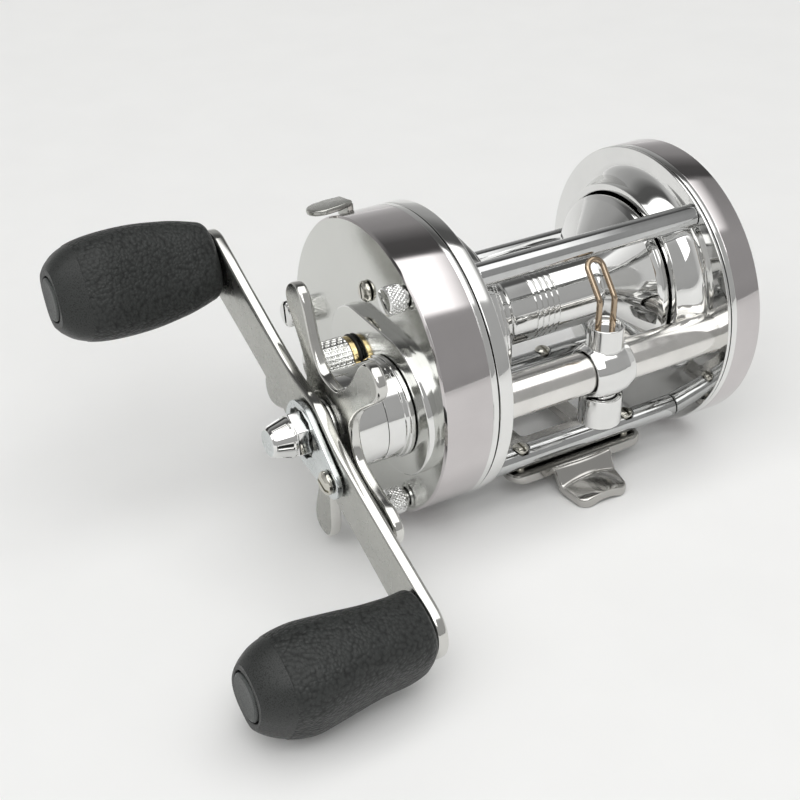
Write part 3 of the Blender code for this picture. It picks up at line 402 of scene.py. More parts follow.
def soft(name, colour, rough, cells, strength, fine=True, distance=0.00025, shine=0.4):
    """A named rubber or plastic: a pebbled surface with painted shade in its valleys and a painted highlight
    on its pebble tops, and finer pores on top.
    """
    material, tree, shader = new_material(name)
    shader.inputs["Specular IOR Level"].default_value = shine
    warp = texture(tree, "Noise", cells * 0.55, detail=3)
    pebbles = texture(tree, "Voronoi", cells)
    pebbles.feature = "SMOOTH_F1"
    pebbles.inputs["Smoothness"].default_value = 0.35
    # The noise pushes the pebbles' outlines about, so that they look like worn leather.
    push = tree.nodes.new("ShaderNodeVectorMath")
    push.operation = "MULTIPLY_ADD"
    push.inputs[1].default_value = (0.9 / cells,) * 3
    tree.links.new(warp.outputs["Color"], push.inputs[0])
    tree.links.new(pebbles.inputs["Vector"].links[0].from_socket, push.inputs[2])
    tree.links.new(push.outputs[0], pebbles.inputs["Vector"])
    # The colour follows the pebbles' height: valleys painted darker as shade, tops painted lighter as
    # highlight.
    tone = ramp(tree, pebbles.outputs["Distance"],
                [(0.1, scaled(colour, 1.2)), (0.5, colour), (0.8, scaled(colour, 0.45))])
    tree.links.new(tone, shader.inputs["Base Color"])
    shade = ramp(tree, warp.outputs["Fac"], [(0.35, (rough - 0.08,) * 3), (0.65, (rough + 0.08,) * 3)])
    tree.links.new(shade, shader.inputs["Roughness"])
    height = arithmetic(tree, "SUBTRACT", 1.0, pebbles.outputs["Distance"])
    normal = bump(tree, shader, height, strength, distance)
    if fine:
        pores = texture(tree, "Noise", cells * 3.2, detail=3)
        bump(tree, shader, pores.outputs["Fac"], strength * 0.5, distance * 0.4, normal)
    return name, material


LOOK = dict((
    metal("chrome", (0.80, 0.80, 0.79), 0.055, spread=0.02, tint=0.02),
    metal("soft_chrome", (0.80, 0.80, 0.79), 0.14, spread=0.04, tint=0.03),
    metal("tube_steel", (0.78, 0.765, 0.74), 0.17, spread=0.05, brush=(0.05, 1, 1), grain=0.08),
    metal("cover_face", (0.665, 0.67, 0.645), 0.16, spread=0.015, tint=0.012),
    metal("gunmetal", (0.60, 0.572, 0.575), 0.065, spread=0.015, tint=0.02),
    metal("satin_nickel", (0.43, 0.43, 0.405), 0.27, spread=0.05, tint=0.03, grain=0.06, grain_scale=6000),
    metal("polished_nickel", (0.66, 0.655, 0.63), 0.09, spread=0.03),
    metal("zinc", (0.66, 0.69, 0.69), 0.27, spread=0.06, grain=0.08, grain_scale=5000),
    metal("screw_nickel", (0.60, 0.585, 0.53), 0.16, spread=0.05),
    metal("steel", (0.60, 0.60, 0.59), 0.24, spread=0.06, brush=(1, 0.08, 1), grain=0.08),
    metal("foot_steel", (0.50, 0.49, 0.47), 0.11, spread=0.02, tint=0.015),
    metal("pillar_steel", (0.56, 0.565, 0.565), 0.10, spread=0.03, brush=(0.04, 1, 1), grain=0.05),
    metal("brass", (0.80, 0.64, 0.34), 0.2, spread=0.05),
    metal("bronze", (0.42, 0.33, 0.24), 0.2, spread=0.06, tint=0.15),
    soft("rubber", (0.026, 0.028, 0.027), 0.48, 1500, 0.75, shine=0.32),
    soft("rubber_plain", (0.030, 0.032, 0.031), 0.45, 5200, 0.10, fine=False, shine=0.32),
    soft("cap", (0.055, 0.060, 0.058), 0.48, 6000, 0.08, fine=False),
    soft("o_ring", (0.012, 0.012, 0.012), 0.42, 6500, 0.08, fine=False),
    soft("nylon", (0.72, 0.71, 0.66), 0.45, 5500, 0.08, fine=False),
    soft("fibre", (0.06, 0.045, 0.038), 0.75, 3000, 0.4),
))


# ---------------------------------------------------------------- pieces


def make_object(name, bm, looks, sharp=SMOOTH_ANGLE):
    """An object in metres from a shape in millimetres."""
    bmesh.ops.remove_doubles(bm, verts=bm.verts, dist=1e-5)
    bmesh.ops.recalc_face_normals(bm, faces=bm.faces)
    if bm.calc_volume(signed=True) < 0:
        bmesh.ops.reverse_faces(bm, faces=bm.faces)
    bmesh.ops.scale(bm, verts=bm.verts, vec=(MM,) * 3)
    mesh = bpy.data.meshes.new(name)
    bm.to_mesh(mesh)
    bm.free()
    mesh.shade_smooth()
    mesh.set_sharp_from_angle(angle=sharp)
    made = bpy.data.objects.new(name, mesh)
    for look in looks:
        mesh.materials.append(LOOK[look])
    bpy.context.scene.collection.objects.link(made)
    return made


def replace(node, bm, *looks, choose=None, cuts=(), sharp=SMOOTH_ANGLE):
    """Makes the fine piece that stands for a CAD node. choose(centre, normal) picks a face's look by its
    number."""
    made = make_object(f"{node}_fine", bm, looks, sharp)
    if choose:
        for face in made.data.polygons:
            face.material_index = choose(face.center / MM, face.normal)
    if cuts:
        for number, cutter in enumerate(cuts):
            tool = make_object(f"{node}_cutter_{number}", cutter, looks[:1])
            modifier = made.modifiers.new(f"cut_{number}", "BOOLEAN")
            modifier.operation = "DIFFERENCE"
            modifier.object = tool
            modifier.solver = "EXACT"
        apply_modifiers(made)
        made.data.set_sharp_from_angle(angle=sharp)
    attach(made, BODY_OF[node])
    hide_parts(node)
    return made


def apply_modifiers(made):
    """Keeps the evaluated mesh and drops the modifiers and their cutters."""
    tools = [m.object for m in made.modifiers if m.type == "BOOLEAN"]
    graph = bpy.context.evaluated_depsgraph_get()
    mesh = bpy.data.meshes.new_from_object(made.evaluated_get(graph))
    old = made.data
    made.modifiers.clear()
    made.data = mesh
    bpy.data.meshes.remove(old)
    for tool in tools:
        bpy.data.meshes.remove(tool.data)


def carry(node, look):
    """Gives a CAD node that stays in view its finish."""
    shown = frame["nodes"][node]
    shown.data.materials.clear()
    shown.data.materials.append(LOOK[look])


# ---------------------------------------------------------------- frame


def side_plate(node, side, rim, back):
    """A side plate: a rim round the reel's axis and a dished lip round the spool's opening."""
    opening, rim_starts = 18.5, 26
    reach = HALF_GAP - COLLAR_REACH
    lip = [(back, opening, 0.1), (reach, opening, 0.25), (reach, 20.1, 0.35)]
    for k in range(1, 11):
        turn = math.pi / 2 * k / 10
        lip.append((reach + 0.5 + 5.0 * math.sin(turn), 20.2 + 3.6 * (1 - math.cos(turn)), 0))
    rows = []
    for x, r in fillet(rim + lip, 0.2):
        axis = PLATE if r > rim_starts else SPOOL
        rows.append([(side * x, *point) for point in circle(axis, r, 160)])
    replace(node, skin(rows), "chrome")


def frame_pieces():
    """The two side plates, the two pillars and the two bars that carry the foot."""
    side_plate("frame_ring_handle_side", -1,
               [(HALF_GAP, PLATE_RADIUS, 0.35), (28.7, PLATE_RADIUS, 0.25)], 28.7)
    side_plate("frame_plate_palm_side", 1,
               [(HALF_GAP, PLATE_RADIUS, 0.25), (26.3, PLATE_RADIUS, 0.15), (26.3, 28.2, 0.05),
                (27.5, 28.2, 0.1)], 27.5)
    shoulder, spigot = HALF_GAP - 0.15, 1.4
    for node, axis, r in (("pillar_front_top", FRONT_PILLAR, 2.4), ("pillar_rear", REAR_PILLAR, 2.3),
                          ("foot_bar_front", FRONT_BAR, 2.35), ("foot_bar_rear", REAR_BAR, 2.35)):
        profile = [(-26.8, 0), (-26.8, spigot), (-shoulder, spigot), (-shoulder, r, 0.2), (shoulder, r, 0.2),
                   (shoulder, spigot), (26.2, spigot), (26.2, 0)]
        cuts = []
        if node.startswith("foot_bar"):
            for side in (-1, 1):
                seat = lathe([(r - 0.9, 0), (r - 0.9, 2.0), (4, 2.0), (4, 0)], steps=40, radius=0)
                cuts.append(placed(seat, upright(side * FOOT_SCREW_X, *axis)))
        replace(node, lathe(profile, axis, 72, 0.15), "pillar_steel", cuts=cuts)


def round_end(share):
    """How far a rounded end has drawn in, from 0 to 1, a share of the way to its tip."""
    return 1 - math.sqrt(max(0.0, 1 - share * share))


def foot_section(y):
    """Half width, drop and arch of the foot at a distance from its middle."""
    if y < REAR_BAR[0] - BAR_HALF_WIDTH:
        return 10.5, 0.0, 0.0
    if y <= BLADE_ROOT:
        return 16.6 - 3.2 * round_end((y - REAR_BAR[0]) / BAR_HALF_WIDTH), 0.0, 0.0
    share = (y - BLADE_ROOT) / (FOOT_TIP - BLADE_ROOT)
    step = min(1.0, share / 0.35)
    drop = 2.9 * step * step * (3 - 2 * step) * (0.8 + 0.2 * share)
    return 7.2 - 1.4 * share - 2.0 * round_end(max(0.0, share - 0.8) / 0.2), drop, step


def foot_piece():
    """The clamp-on foot with its two blades, and its four screws."""
    bar, blade = REAR_BAR[0], FOOT_TIP - BLADE_ROOT
    half = [0, 5, bar - BAR_HALF_WIDTH - 0.02]
    half += [bar - BAR_HALF_WIDTH * math.cos(math.pi * i / 24) for i in range(25)]
    half += [BLADE_ROOT + blade * (0.001 + 0.799 * i / 20) for i in range(21)]
    half += [BLADE_ROOT + blade * (0.8 + 0.2 * math.sin(math.pi / 2 * i / 10)) for i in range(1, 11)]
    across, thick, round_edge = 24, 1.8, 0.35
    rows = []
    for y in [-y for y in reversed(half[1:])] + half:
        width, drop, arch = foot_section(abs(y))
        top = []
        for i in range(across + 1):
            # Points lie closer together near the rounded edges.
            t = 2 * i / across - 1
            t = math.copysign(1 - (1 - abs(t)) ** 1.5, t)
            edge = max(0.0, abs(t) * width - (width - round_edge)) / round_edge
            fall = round_edge * round_end(edge)
            top.append((width * t, y, thick - drop - arch * t * t - fall, fall))
        bottom = [(x, y, z - thick + 2 * fall) for x, y, z, fall in reversed(top)]
        rows.append([point[:3] for point in top] + bottom)
    window = fillet([(-6.5, -6, 1.2), (6.5, -6, 1.2), (6.5, 6, 1.2), (-6.5, 6, 1.2)], 1.2, 6)
    opening = plate([(-y, x) for x, y in window], -3, 4, edge=0.01)
    replace("reel_foot", skin(rows, closed=False, caps=True), "foot_steel",
            cuts=[placed(opening, upright(0, 0, 0))])
    profile = [(-4.1, 0), (-4.1, 1.0), (1.85, 1.0), (1.85, 1.7), (2.45, 1.7, 0.3), (2.85, 1.1, 0.4), (2.85, 0)]
    corners = [(side, axis) for axis in (FRONT_BAR, REAR_BAR) for side in (-1, 1)]
    for number, (side, axis) in enumerate(corners, 1):
        place = upright(side * FOOT_SCREW_X, *axis)
        replace(f"foot_screw_{number}", placed(lathe(profile, steps=48, radius=0.1), place), "screw_nickel",
                cuts=[driver_slot(2.3, 4, 0.25, place)])


# ---------------------------------------------------------------- covers


def handle_cover():
    """The deep cover on the handle side, with the teardrop boss and the neck for the cast-control knob."""
    face, open_end, bore = -40.6, -29.0, 28.9
    profile = [(face, 0), (face, 29.6, 0.04), (face + 0.4, PLATE_RADIUS, 0.04), (-30.35, PLATE_RADIUS, 0.05),
               (-30.25, 29.9, 0.03), (-30.15, PLATE_RADIUS, 0.05), (open_end, PLATE_RADIUS, 0.2),
               (open_end, bore, 0.1), (-39.2, bore, 0.4), (-39.2, 0)]
    cup = lathe(profile, PLATE, 224, 0.1)
    boss_face = -42.9
    boss = plate(hull_of_circles(DRIVE, 14.0, SPOOL, 9.8, 120), boss_face, face + 0.3)
    neck = lathe([(-47.9, 0), (-47.9, 3.0, 0.2), (-42.5, 3.0), (-42.5, 0)], SPOOL, 64)
    lever_slot = placed(box((-36.5, -4.2, 26), (-34.5, 6.0, 33)), spun(PLATE, math.radians(54.5 - 90)))
    replace("handle_side_cover", cup, "gunmetal", "cover_face", "chrome", cuts=[lever_slot], choose=cover_look)
    extra = make_object("handle_cover_boss", joined(boss, neck), ["cover_face", "chrome"])
    for polygon in extra.data.polygons:
        flat = polygon.normal.x < -0.98 and polygon.center.x < (boss_face + 0.1) * MM
        polygon.material_index = 0 if flat else 1
    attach(extra, BODY_OF["handle_side_cover"])
    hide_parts("handle_side_cover")


def cover_look(at, normal):
    """Dark band, satin face and polished edges, with the band's darker metal also on the face's outer chamfer
    as a painted shadow line.
    """
    radius = math.hypot(at.y - PLATE[0], at.z - PLATE[1])
    if normal.x < -0.97 and at.x < -40.5:
        return 1
    # The chamfer below -40.22 gets the band's darker metal as a painted shadow line; the band itself has its
    # own dark finish.
    if at.x < -40.22 or radius > BAND_RADIUS and -39.7 < at.x < -30.3:
        return 0
    return 2


def palm_cover():
    """The shallow cover on the palm side, with raised steps on its face."""
    face, open_end, bore = 34.7, 26.6, 28.5
    profile = [(33.3, 0), (33.3, bore, 0.4), (open_end, bore, 0.1), (open_end, PLATE_RADIUS, 0.2),
               (27.75, PLATE_RADIUS, 0.05), (27.85, 29.9, 0.03), (27.95, PLATE_RADIUS, 0.05),
               (face - 0.95, PLATE_RADIUS, 0.12), (face, 29.0, 0.12), (face, 23.5, 0.3),
               (face + 0.8, 22.3, 0.4), (face + 0.8, 7.2, 0.2), (face + 1.6, 6.4, 0.3),
               (face + 2.0, 5.2, 0.4), (face + 2.0, 0)]
    shape = lathe(profile, PLATE, 224, 0.1)
    # The small step in the middle goes round the spool's axis.
    for vert in shape.verts:
        reach = math.hypot(vert.co.y - PLATE[0], vert.co.z - PLATE[1])
        if vert.co.x > face + 0.4 and reach < 7.6:
            vert.co.z += SPOOL[1] - PLATE[1]
    replace("palm_side_cover", shape, "gunmetal", "cover_face", "chrome", choose=palm_look)


def palm_look(at, normal):
    """Dark band, satin faces and polished edges."""
    radius = math.hypot(at.y - PLATE[0], at.z - PLATE[1])
    if radius > BAND_RADIUS and 27.9 < at.x < 33.75:
        return 0
    if normal.x > 0.97 and at.x > 34:
        return 1
    return 2


def knurl(count, pitch, depth, low, high, outer):
    """Crossed helical grooves on a cylinder between two stations."""
    def wave(x, r, angle):
        if r < outer - 0.02 or not low < x < high:
            return r
        a = math.sin(count / 2 * angle + math.pi * x / pitch)
        b = math.sin(count / 2 * angle - math.pi * x / pitch)
        return r - depth * (1 - min(1.0, 1.35 * abs(a) ** 0.7) * min(1.0, 1.35 * abs(b) ** 0.7))
    return wave


def stations(x0, x1, radius, count):
    """Points along a cylinder, close enough together to carry a knurl."""
    return [(x0 + (x1 - x0) * i / count, radius, 0) for i in range(count + 1)]


def thumb_and_cover_screws():
    """Three knurled thumbscrews into the pillars and the lower bar, and one small slotted screw."""
    knurled, end = 2.78, -44.9
    profile = [(-27.4, 0), (-27.4, 1.4), (SCREW_SEAT, 1.4), (SCREW_SEAT, 2.2), (-41.4, 2.2), (-41.55, 2.65)]
    profile += stations(-41.7, -44.5, knurled, 18)
    profile += [(-44.65, 2.62), (end, 2.3, 0.15), (end, 0)]
    for number, axis in enumerate((FRONT_PILLAR, REAR_PILLAR, FRONT_BAR), 1):
        bm = lathe(profile, axis, 144, 0.1, wave=knurl(20, 1.0, 0.26, -44.6, -41.6, knurled))
        slot = driver_slot(end - 1, end + 1.1, 0.4, spun(axis, math.radians(40 * number)))
        replace(f"thumbscrew_{number}", bm, "chrome", cuts=[slot], sharp=CRISP_ANGLE)
    domed_screw("cover_screw", (-1.3, 44.1), (-36.5, 0.9), SCREW_SEAT, (0.45, 2.1, 0.35), (1.1, 1.3), 0.25, 75)


def domed_screw(node, axis, tail, seat, side, crown, slot_half_width, turn):
    """A slotted screw. tail is its far end and radius, side is the height, radius and rounding of its head's
    side, and crown is the height and radius of the head's top."""
    far, shank = tail
    height, radius, rounding = side
    top = seat - crown[0]
    profile = [(far, 0), (far, shank), (seat, shank), (seat, radius), (seat - height, radius, rounding),
               (top, crown[1], 0.6), (top, 0)]
    slot = driver_slot(seat - 2, top + 0.5, slot_half_width, spun(axis, math.radians(turn)))
    replace(node, lathe(profile, axis, 64, 0.05), "screw_nickel", cuts=[slot])


# ---------------------------------------------------------------- drive side


def drive_pieces():
    """The cover's stepped collar, the drive shaft, and the cast-control knob with its rings."""
    profile = [(-47.7, 3.6), (-47.7, 7.5), (-43.2, 7.5), (-43.2, 10.0), (-44.0, 10.0, 0.2), (-44.2, 9.7, 0.1),
               (-44.9, 9.7, 0.15), (-45.1, 9.5, 0.08), (-48.52, 9.5, 0.06), (-48.52, 3.6)]
    replace("drive_housing", lathe(profile, DRIVE, 128, 0.1), "chrome")
    shaft = [(-29.2, 0), (-29.2, 1.8), (-30.9, 1.8), (-30.9, 2.5), (-48.4, 2.5), (-48.9, 2.7), (-57.6, 2.7),
             (-57.6, 2.3), (-60.5, 2.3), (-60.5, 1.6), (-65.5, 1.6), (-65.5, 0)]
    replace("drive_shaft", lathe(shaft, DRIVE, 48, 0.1), "steel")
    washer = [(-57.7, 3.2), (-57.4, 5.6), (-57.0, 5.6), (-57.3, 3.2)]
    replace("star_spring_washer", lathe(washer, DRIVE, 64, 0.08), "chrome")

    knob = [(-51.2, 0), (-51.2, 3.4), (-45.0, 3.4), (-45.0, 3.95, 0.1)]
    knob += stations(-45.2, -51.9, 4.15, 60)
    knob += [(-52.2, 3.95, 0.1), (-52.6, 3.5, 0.15), (-52.6, 0)]
    bm = lathe(knob, SPOOL, 360, 0.08, wave=ridge_wave)
    replace("cast_control_knob", bm, "soft_chrome", sharp=CRISP_ANGLE)
    collar = [(-43.8, 3.15), (-43.8, 3.9), (-44.9, 3.9), (-44.9, 3.15)]
    replace("cast_control_collar", lathe(collar, SPOOL, 96, 0.15), "brass")
    middle, squeeze = -43.43, 0.64
    seal = [(middle + squeeze * (x - middle), r) for x, r in circle((middle, 3.7), 0.5, 20)]
    replace("cast_control_o_ring", lathe(seal, SPOOL, 96, 0), "o_ring")


def ridge_wave(x, r, angle):
    """Rows of short pockets along the knob, each row a little further along than the one before."""
    if r < 4.1 or not -51.8 < x < -45.35:
        return r
    rows, pitch, shift, depth, slope = 30, 1.35, 0.37, 0.24, 0.12
    row = (angle / math.tau * rows) % rows
    across = abs(row % 1.0 - 0.5)
    along = abs((x / pitch + shift * int(row)) % 1.0 - 0.5)
    sunk = min(1.0, max(0.0, (0.30 - across) / slope)) * min(1.0, max(0.0, (0.39 - along) / slope))
    return r - depth * sunk


def star_piece():
    """The five-armed drag star and the drum behind it."""
    arms, first_arm = 5, math.radians(60.5)
    side = [(8.6, 4.7), (10.2, 3.4), (12.6, 2.75), (15.8, 2.7), (19.4, 3.15), (22.7, 3.6), (25.3, 3.2),
            (26.7, 1.9)]
    arm = [(u, -v) for u, v in side] + [(27.15, 0)] + side[::-1]
    outline = []
    for i in range(arms):
        outline += local(DRIVE, arm, first_arm + math.tau * i / arms)
    disc = plate(smooth_loop(outline, 6), -56.6, -54.3, [circle(DRIVE, 3.0, 64)], edge=0.7, steps=5)
    hub = lathe([(-56.7, 3.15), (-56.7, 6.6, 0.3), (-56.3, 6.9, 0.1), (-54.8, 6.9, 0.1), (-54.8, 9.5, 0.2),
                 (-48.64, 9.5, 0.06), (-48.64, 3.15)], DRIVE, 128, 0.1)
    replace("star_drag", joined(disc, hub), "satin_nickel", "polished_nickel", "chrome", choose=star_look)


def star_look(at, normal):
    """Satin faces, polished edges and a bright drum."""
    if at.x > -54.25 and math.hypot(at.y - DRIVE[0], at.z - DRIVE[1]) < 9.6:
        return 2
    return 0 if abs(normal.x) > 0.9 else 1


def arm_outline():
    """The crank arm: round ends, and sides that swell round the drive axis."""
    end, waist, hub, swell = 5.8, 5.2, 6.9, 6.4
    half = circle((ARM_THROW, 0), end, 40, -math.pi / 2, math.pi) + [(38, 5.65), (30, 5.4)]
    for k in range(61):
        u = 20 - 40 * k / 60
        half.append((u, waist + (hub - waist) * math.exp(-(u / swell) ** 2)))
    half += [(-30, 5.4), (-38, 5.65)]
    return half + [(-u, -v) for u, v in half]


def nut_wave(x, r, angle):
    """Six flutes with steep sides down the nut's cone."""
    tip, flutes, depth = -68.15, 6, 0.5
    share = (angle - ARM_ANGLE) / math.tau * flutes % 1.0
    if not tip < x < -64.75 or r < 2.6 or abs(share - 0.5) >= 0.17:
        return r
    return r - depth * min(1.0, (x - tip) / 0.25)


def handle_pieces():
    """The crank arm, its lock plate and screw, and the fluted cap nut."""
    ends = [polar(DRIVE, side * ARM_THROW, ARM_ANGLE) for side in (1, -1)]
    lock_at = polar(DRIVE, -11.5, ARM_ANGLE)
    holes = [circle(at, 1.9, 32) for at in ends] + [circle(DRIVE, 2.6, 48), circle(lock_at, 1.1, 24)]
    arm = plate(local(DRIVE, arm_outline(), ARM_ANGLE), -60.4, -58.0, holes, edge=0.75, steps=5)
    replace("handle_arm", arm, "satin_nickel", "polished_nickel",
            choose=lambda at, normal: 0 if abs(normal.x) > 0.85 else 1)

    teeth = 24
    toothed = [polar(DRIVE, 5.05 if k % 2 else 4.72, ARM_ANGLE + math.tau * k / teeth) for k in range(teeth)]
    lock = plate(hull_of_circles(DRIVE, 6.3, lock_at, 3.4, 80), -61.9, -60.7,
                 [fillet(toothed, 0.1, 2), circle(lock_at, 1.1, 24)])
    replace("lock_plate", lock, "zinc")
    domed_screw("lock_screw", lock_at, (-59.0, 0.8), -62.2, (0.55, 2.3, 0.4), (1.2, 1.4), 0.3, 20)

    hexagon = fillet(local(DRIVE, circle((0, 0), 4.6, 6), ARM_ANGLE), 0.35)
    base = plate(hexagon, -64.4, -60.7, [circle(DRIVE, 2.0, 48)], edge=0.35)
    cone = [(-66.5, 0), (-66.5, 2.2), (-64.0, 2.2), (-64.0, 3.9), (-64.7, 3.9, 0.2)]
    cone += [(-64.75 - 3.4 * i / 16, 3.88 - 0.95 * i / 16, 0) for i in range(17)]
    cone += [(-68.7, 2.55, 0.25), (-68.7, 0)]
    fluted = lathe(cone, DRIVE, 216, 0.1, wave=nut_wave)
    replace("handle_nut", joined(base, fluted), "chrome", "zinc",
            choose=lambda at, normal: 1 if normal.x < -0.97 and at.x < -68 else 0, sharp=math.radians(40))


# Stations of a grip: distance from the reel's middle, half width, half depth and bow.
GRIP = ((60.9, 6.5, 5.9, 0), (61.25, 7.2, 6.4, 0), (61.9, 7.75, 6.85, 0.1), (63, 8.1, 7.05, 0.3),
        (65.5, 8.8, 7.1, 0.6), (68, 9.4, 7.1, 0.6), (70.5, 9.8, 7.2, 0.6), (73, 10.15, 7.45, 0.6),
        (75.5, 10.4, 7.8, 0.6), (78, 10.5, 8.15, 0.6), (80.5, 10.5, 8.5, 0.6), (83, 10.4, 8.8, 0.6),
        (85.5, 10.15, 8.65, 0.5), (88, 9.6, 8.1, 0.3), (90.5, 8.5, 7.15, 0.05), (92.4, 6.95, 6.0, 0),
        (93.2, 5.9, 5.3, 0))


def grip_section(x):
    """Half width, half depth and bow of a grip at a distance from the reel's middle."""
    at = [row[0] for row in GRIP]
    i = min(max(0, sum(a <= x for a in at) - 1), len(GRIP) - 2)
    low, high = max(i - 1, 0), min(i + 2, len(GRIP) - 1)
    span = at[i + 1] - at[i]
    t = (x - at[i]) / span
    made = []
    for column in (1, 2, 3):
        p = [GRIP[k][column] for k in (low, i, i + 1, high)]
        m1 = (p[2] - p[0]) / (at[i + 1] - at[low]) * span
        m2 = (p[3] - p[1]) / (at[high] - at[i]) * span
        made.append((2 * t ** 3 - 3 * t * t + 1) * p[1] + (t ** 3 - 2 * t * t + t) * m1
                    + (-2 * t ** 3 + 3 * t * t) * p[2] + (t ** 3 - t * t) * m2)
    return made


def squared_circle(half_width, half_depth, bow, steps):
    """An outline between an ellipse and a rectangle, moved sideways by the bow."""
    power, points = 2.7, []
    for i in range(steps):
        angle = math.tau * i / steps
        c, s = math.cos(angle), math.sin(angle)
        points.append((half_width * math.copysign(abs(c) ** (2 / power), c),
                       bow + half_depth * math.copysign(abs(s) ** (2 / power), s)))
    return points


def knob_pieces():
    """The two grips, their end caps and the pins they turn on."""
    start, end, seam, steps, trim = GRIP[0][0], GRIP[-1][0], 88.2, 120, 0.992
    for number, (side, turn) in enumerate(((1, 61.4), (-1, 116.6)), 1):
        axis = polar(DRIVE, side * ARM_THROW, ARM_ANGLE)
        turn = math.radians(turn)
        places = [start + (end - start) * k / 80 for k in range(81)] + [seam - 0.03, seam + 0.03]
        rows = []
        for x in sorted(places):
            a, b, bow = grip_section(x)
            # The smooth end beyond the seam is a little smaller than the pebbled part.
            step = 0.09 if x > seam else 0.0
            a, b = trim * a - step, trim * b - step
            rows.append([(-x, y, z) for y, z in local(axis, squared_circle(a, b, bow, steps), turn)])
        for x, radius in ((-end, 4.75), (-end + 0.15, 4.6), (-90.6, 4.6), (-90.6, 1.9), (-start, 1.9)):
            rows.append([(x, y, z) for y, z in local(axis, circle((0, 0), radius, steps), turn)])
        replace(f"knob_{number}", skin(rows), "rubber", "rubber_plain",
                choose=lambda at, normal: 0 if -seam < at.x < -61.6 else 1)
        cap = [(-92.3, 0), (-92.3, 4.25), (-93.35, 4.25, 0.25), (-93.55, 3.7, 0.25), (-93.4, 2.0, 0.5),
               (-93.35, 0)]
        replace(f"knob_cap_{number}", lathe(cap, axis, 96, 0.2), "cap")
        pin = [(-57.1, 0), (-57.1, 2.2, 0.3), (-57.7, 2.7, 0.1), (-57.7, 1.6), (-91.0, 1.6), (-91.0, 3.4),
               (-91.7, 3.4), (-91.7, 0)]
        replace(f"knob_pin_{number}", lathe(pin, axis, 48, 0.1), "steel")


def lever_piece():
    """The thumb lever: a flat arm inside the cover and a rounded pad outside it."""
    pivot, angle, facing = (12.0, 26.7), math.radians(59), math.radians(78)
    end = polar(PLATE, 32.1, angle)
    lean = math.atan2(end[1] - pivot[1], end[0] - pivot[0])
    length = math.hypot(end[1] - pivot[1], end[0] - pivot[0])
    arm = circle((0, 0), 3.0, 32, math.radians(45), math.radians(270)) + [(length, -2.4), (length, 2.4)]
    stem = plate(local(pivot, arm, lean), -36.1, -34.9, [circle(pivot, 1.5, 32)], edge=0.2)
    root = -35.1
    pad = [(root, -2.4), (-38.0, -3.3)] + circle((-40.4, 0), 3.3, 40, -math.pi / 2, -math.pi)
    pad += [(-38.0, 3.3), (root, 2.4)]
    leaf = plate(pad, -0.6, 0.6, edge=0.4, steps=4)
    to_radial = Matrix(((0, 1, 0, 0), (0, 0, 1, 0), (1, 0, 0, 0), (0, 0, 0, 1)))
    turn = spun(polar(PLATE, 32.2, angle), facing - math.pi / 2)
    droop = Matrix.Translation((root, 0, 0)) @ Matrix.Rotation(math.radians(-4), 4, "Y")
    droop = droop @ Matrix.Translation((-root, 0, 0))
    replace("clutch_lever", joined(stem, placed(leaf, turn @ droop @ to_radial)), "satin_nickel")


# ---------------------------------------------------------------- spool and level wind


def spool_pieces():
    """The spool with its five fine grooves, and its shaft with the drive pin."""
    barrel = 7.4
    half = [(0, barrel, 0), (11.0, barrel, 1.6), (17.8, 17.2, 0.6), (18.5, 18.0, 0.3), (21.0, 18.0, 0.4),
            (20.3, 16.8, 0.4), (14.5, 6.6, 1.0), (14.5, 4.2, 0.2), (22.0, 4.2, 0.2), (22.0, 2.2, 0.1)]
    rings = []
    for at in (-4.8, -3.45, -2.1, -0.75, 0.6):
        rings += [(at - 0.16, barrel, 0.03), (at, barrel - 0.2, 0.03), (at + 0.16, barrel, 0.03)]
    profile = [(-x, r, f) for x, r, f in reversed(half[1:])] + rings + half[1:]
    replace("spool", lathe(profile, SPOOL, 160, 0.1), "chrome")
    shaft = [(-47.4, 0), (-47.4, 1.45), (-24.5, 1.45), (-24.5, 1.9), (24.5, 1.9), (24.5, 1.45), (32.9, 1.45),
             (32.9, 0)]
    pin = placed(lathe([(-2.9, 0), (-2.9, 0.5), (2.9, 0.5), (2.9, 0)], steps=20, radius=0.1),
                 upright(-30.7, *SPOOL))
    replace("spool_shaft", joined(lathe(shaft, SPOOL, 48, 0.1), pin), "steel")


def level_wind_pieces():
    """The slotted tube and the worm shaft inside it."""
    tube_shape = lathe([(-25.9, 3.3), (-25.9, 4.15), (25.9, 4.15), (25.9, 3.3)], WORM, 96, 0.1)
    slot = placed(box((-19.5, -1.3, -6), (19.5, 1.3, -2)), spun(WORM, 0.0))
    replace("levelwind_tube", tube_shape, "tube_steel", cuts=[slot])

    # The groove winds both ways between its two ends, with four turns each way.
    steps, sections, reach, groove_end, turns = 40, 300, 24.6, 18, 4
    journal, outer, groove_depth = 1.2, 2.7, 0.7
    rows = [[(x, y, z) for y, z in circle(WORM, journal, steps)] for x in (-33.5, -25.3)]
    for i in range(sections + 1):
        x = -reach + 2 * reach * i / sections
        row = []
        for k in range(steps):
            angle = math.tau * k / steps
            sunk = 0.0
            if abs(x) < groove_end:
                twist = math.tau * turns * x / (2 * groove_end)
                sunk = max(0.0, math.cos(angle + twist) - 0.55, math.cos(angle - twist) - 0.55)
            row.append((x, *polar(WORM, outer - groove_depth * min(1.0, sunk / 0.25), angle)))
        rows.append(row)
    rows += [[(x, y, z) for y, z in circle(WORM, journal, steps)] for x in (25.3, 27.0)]
    replace("worm_shaft", skin(rows, closed=False, caps=True), "steel")


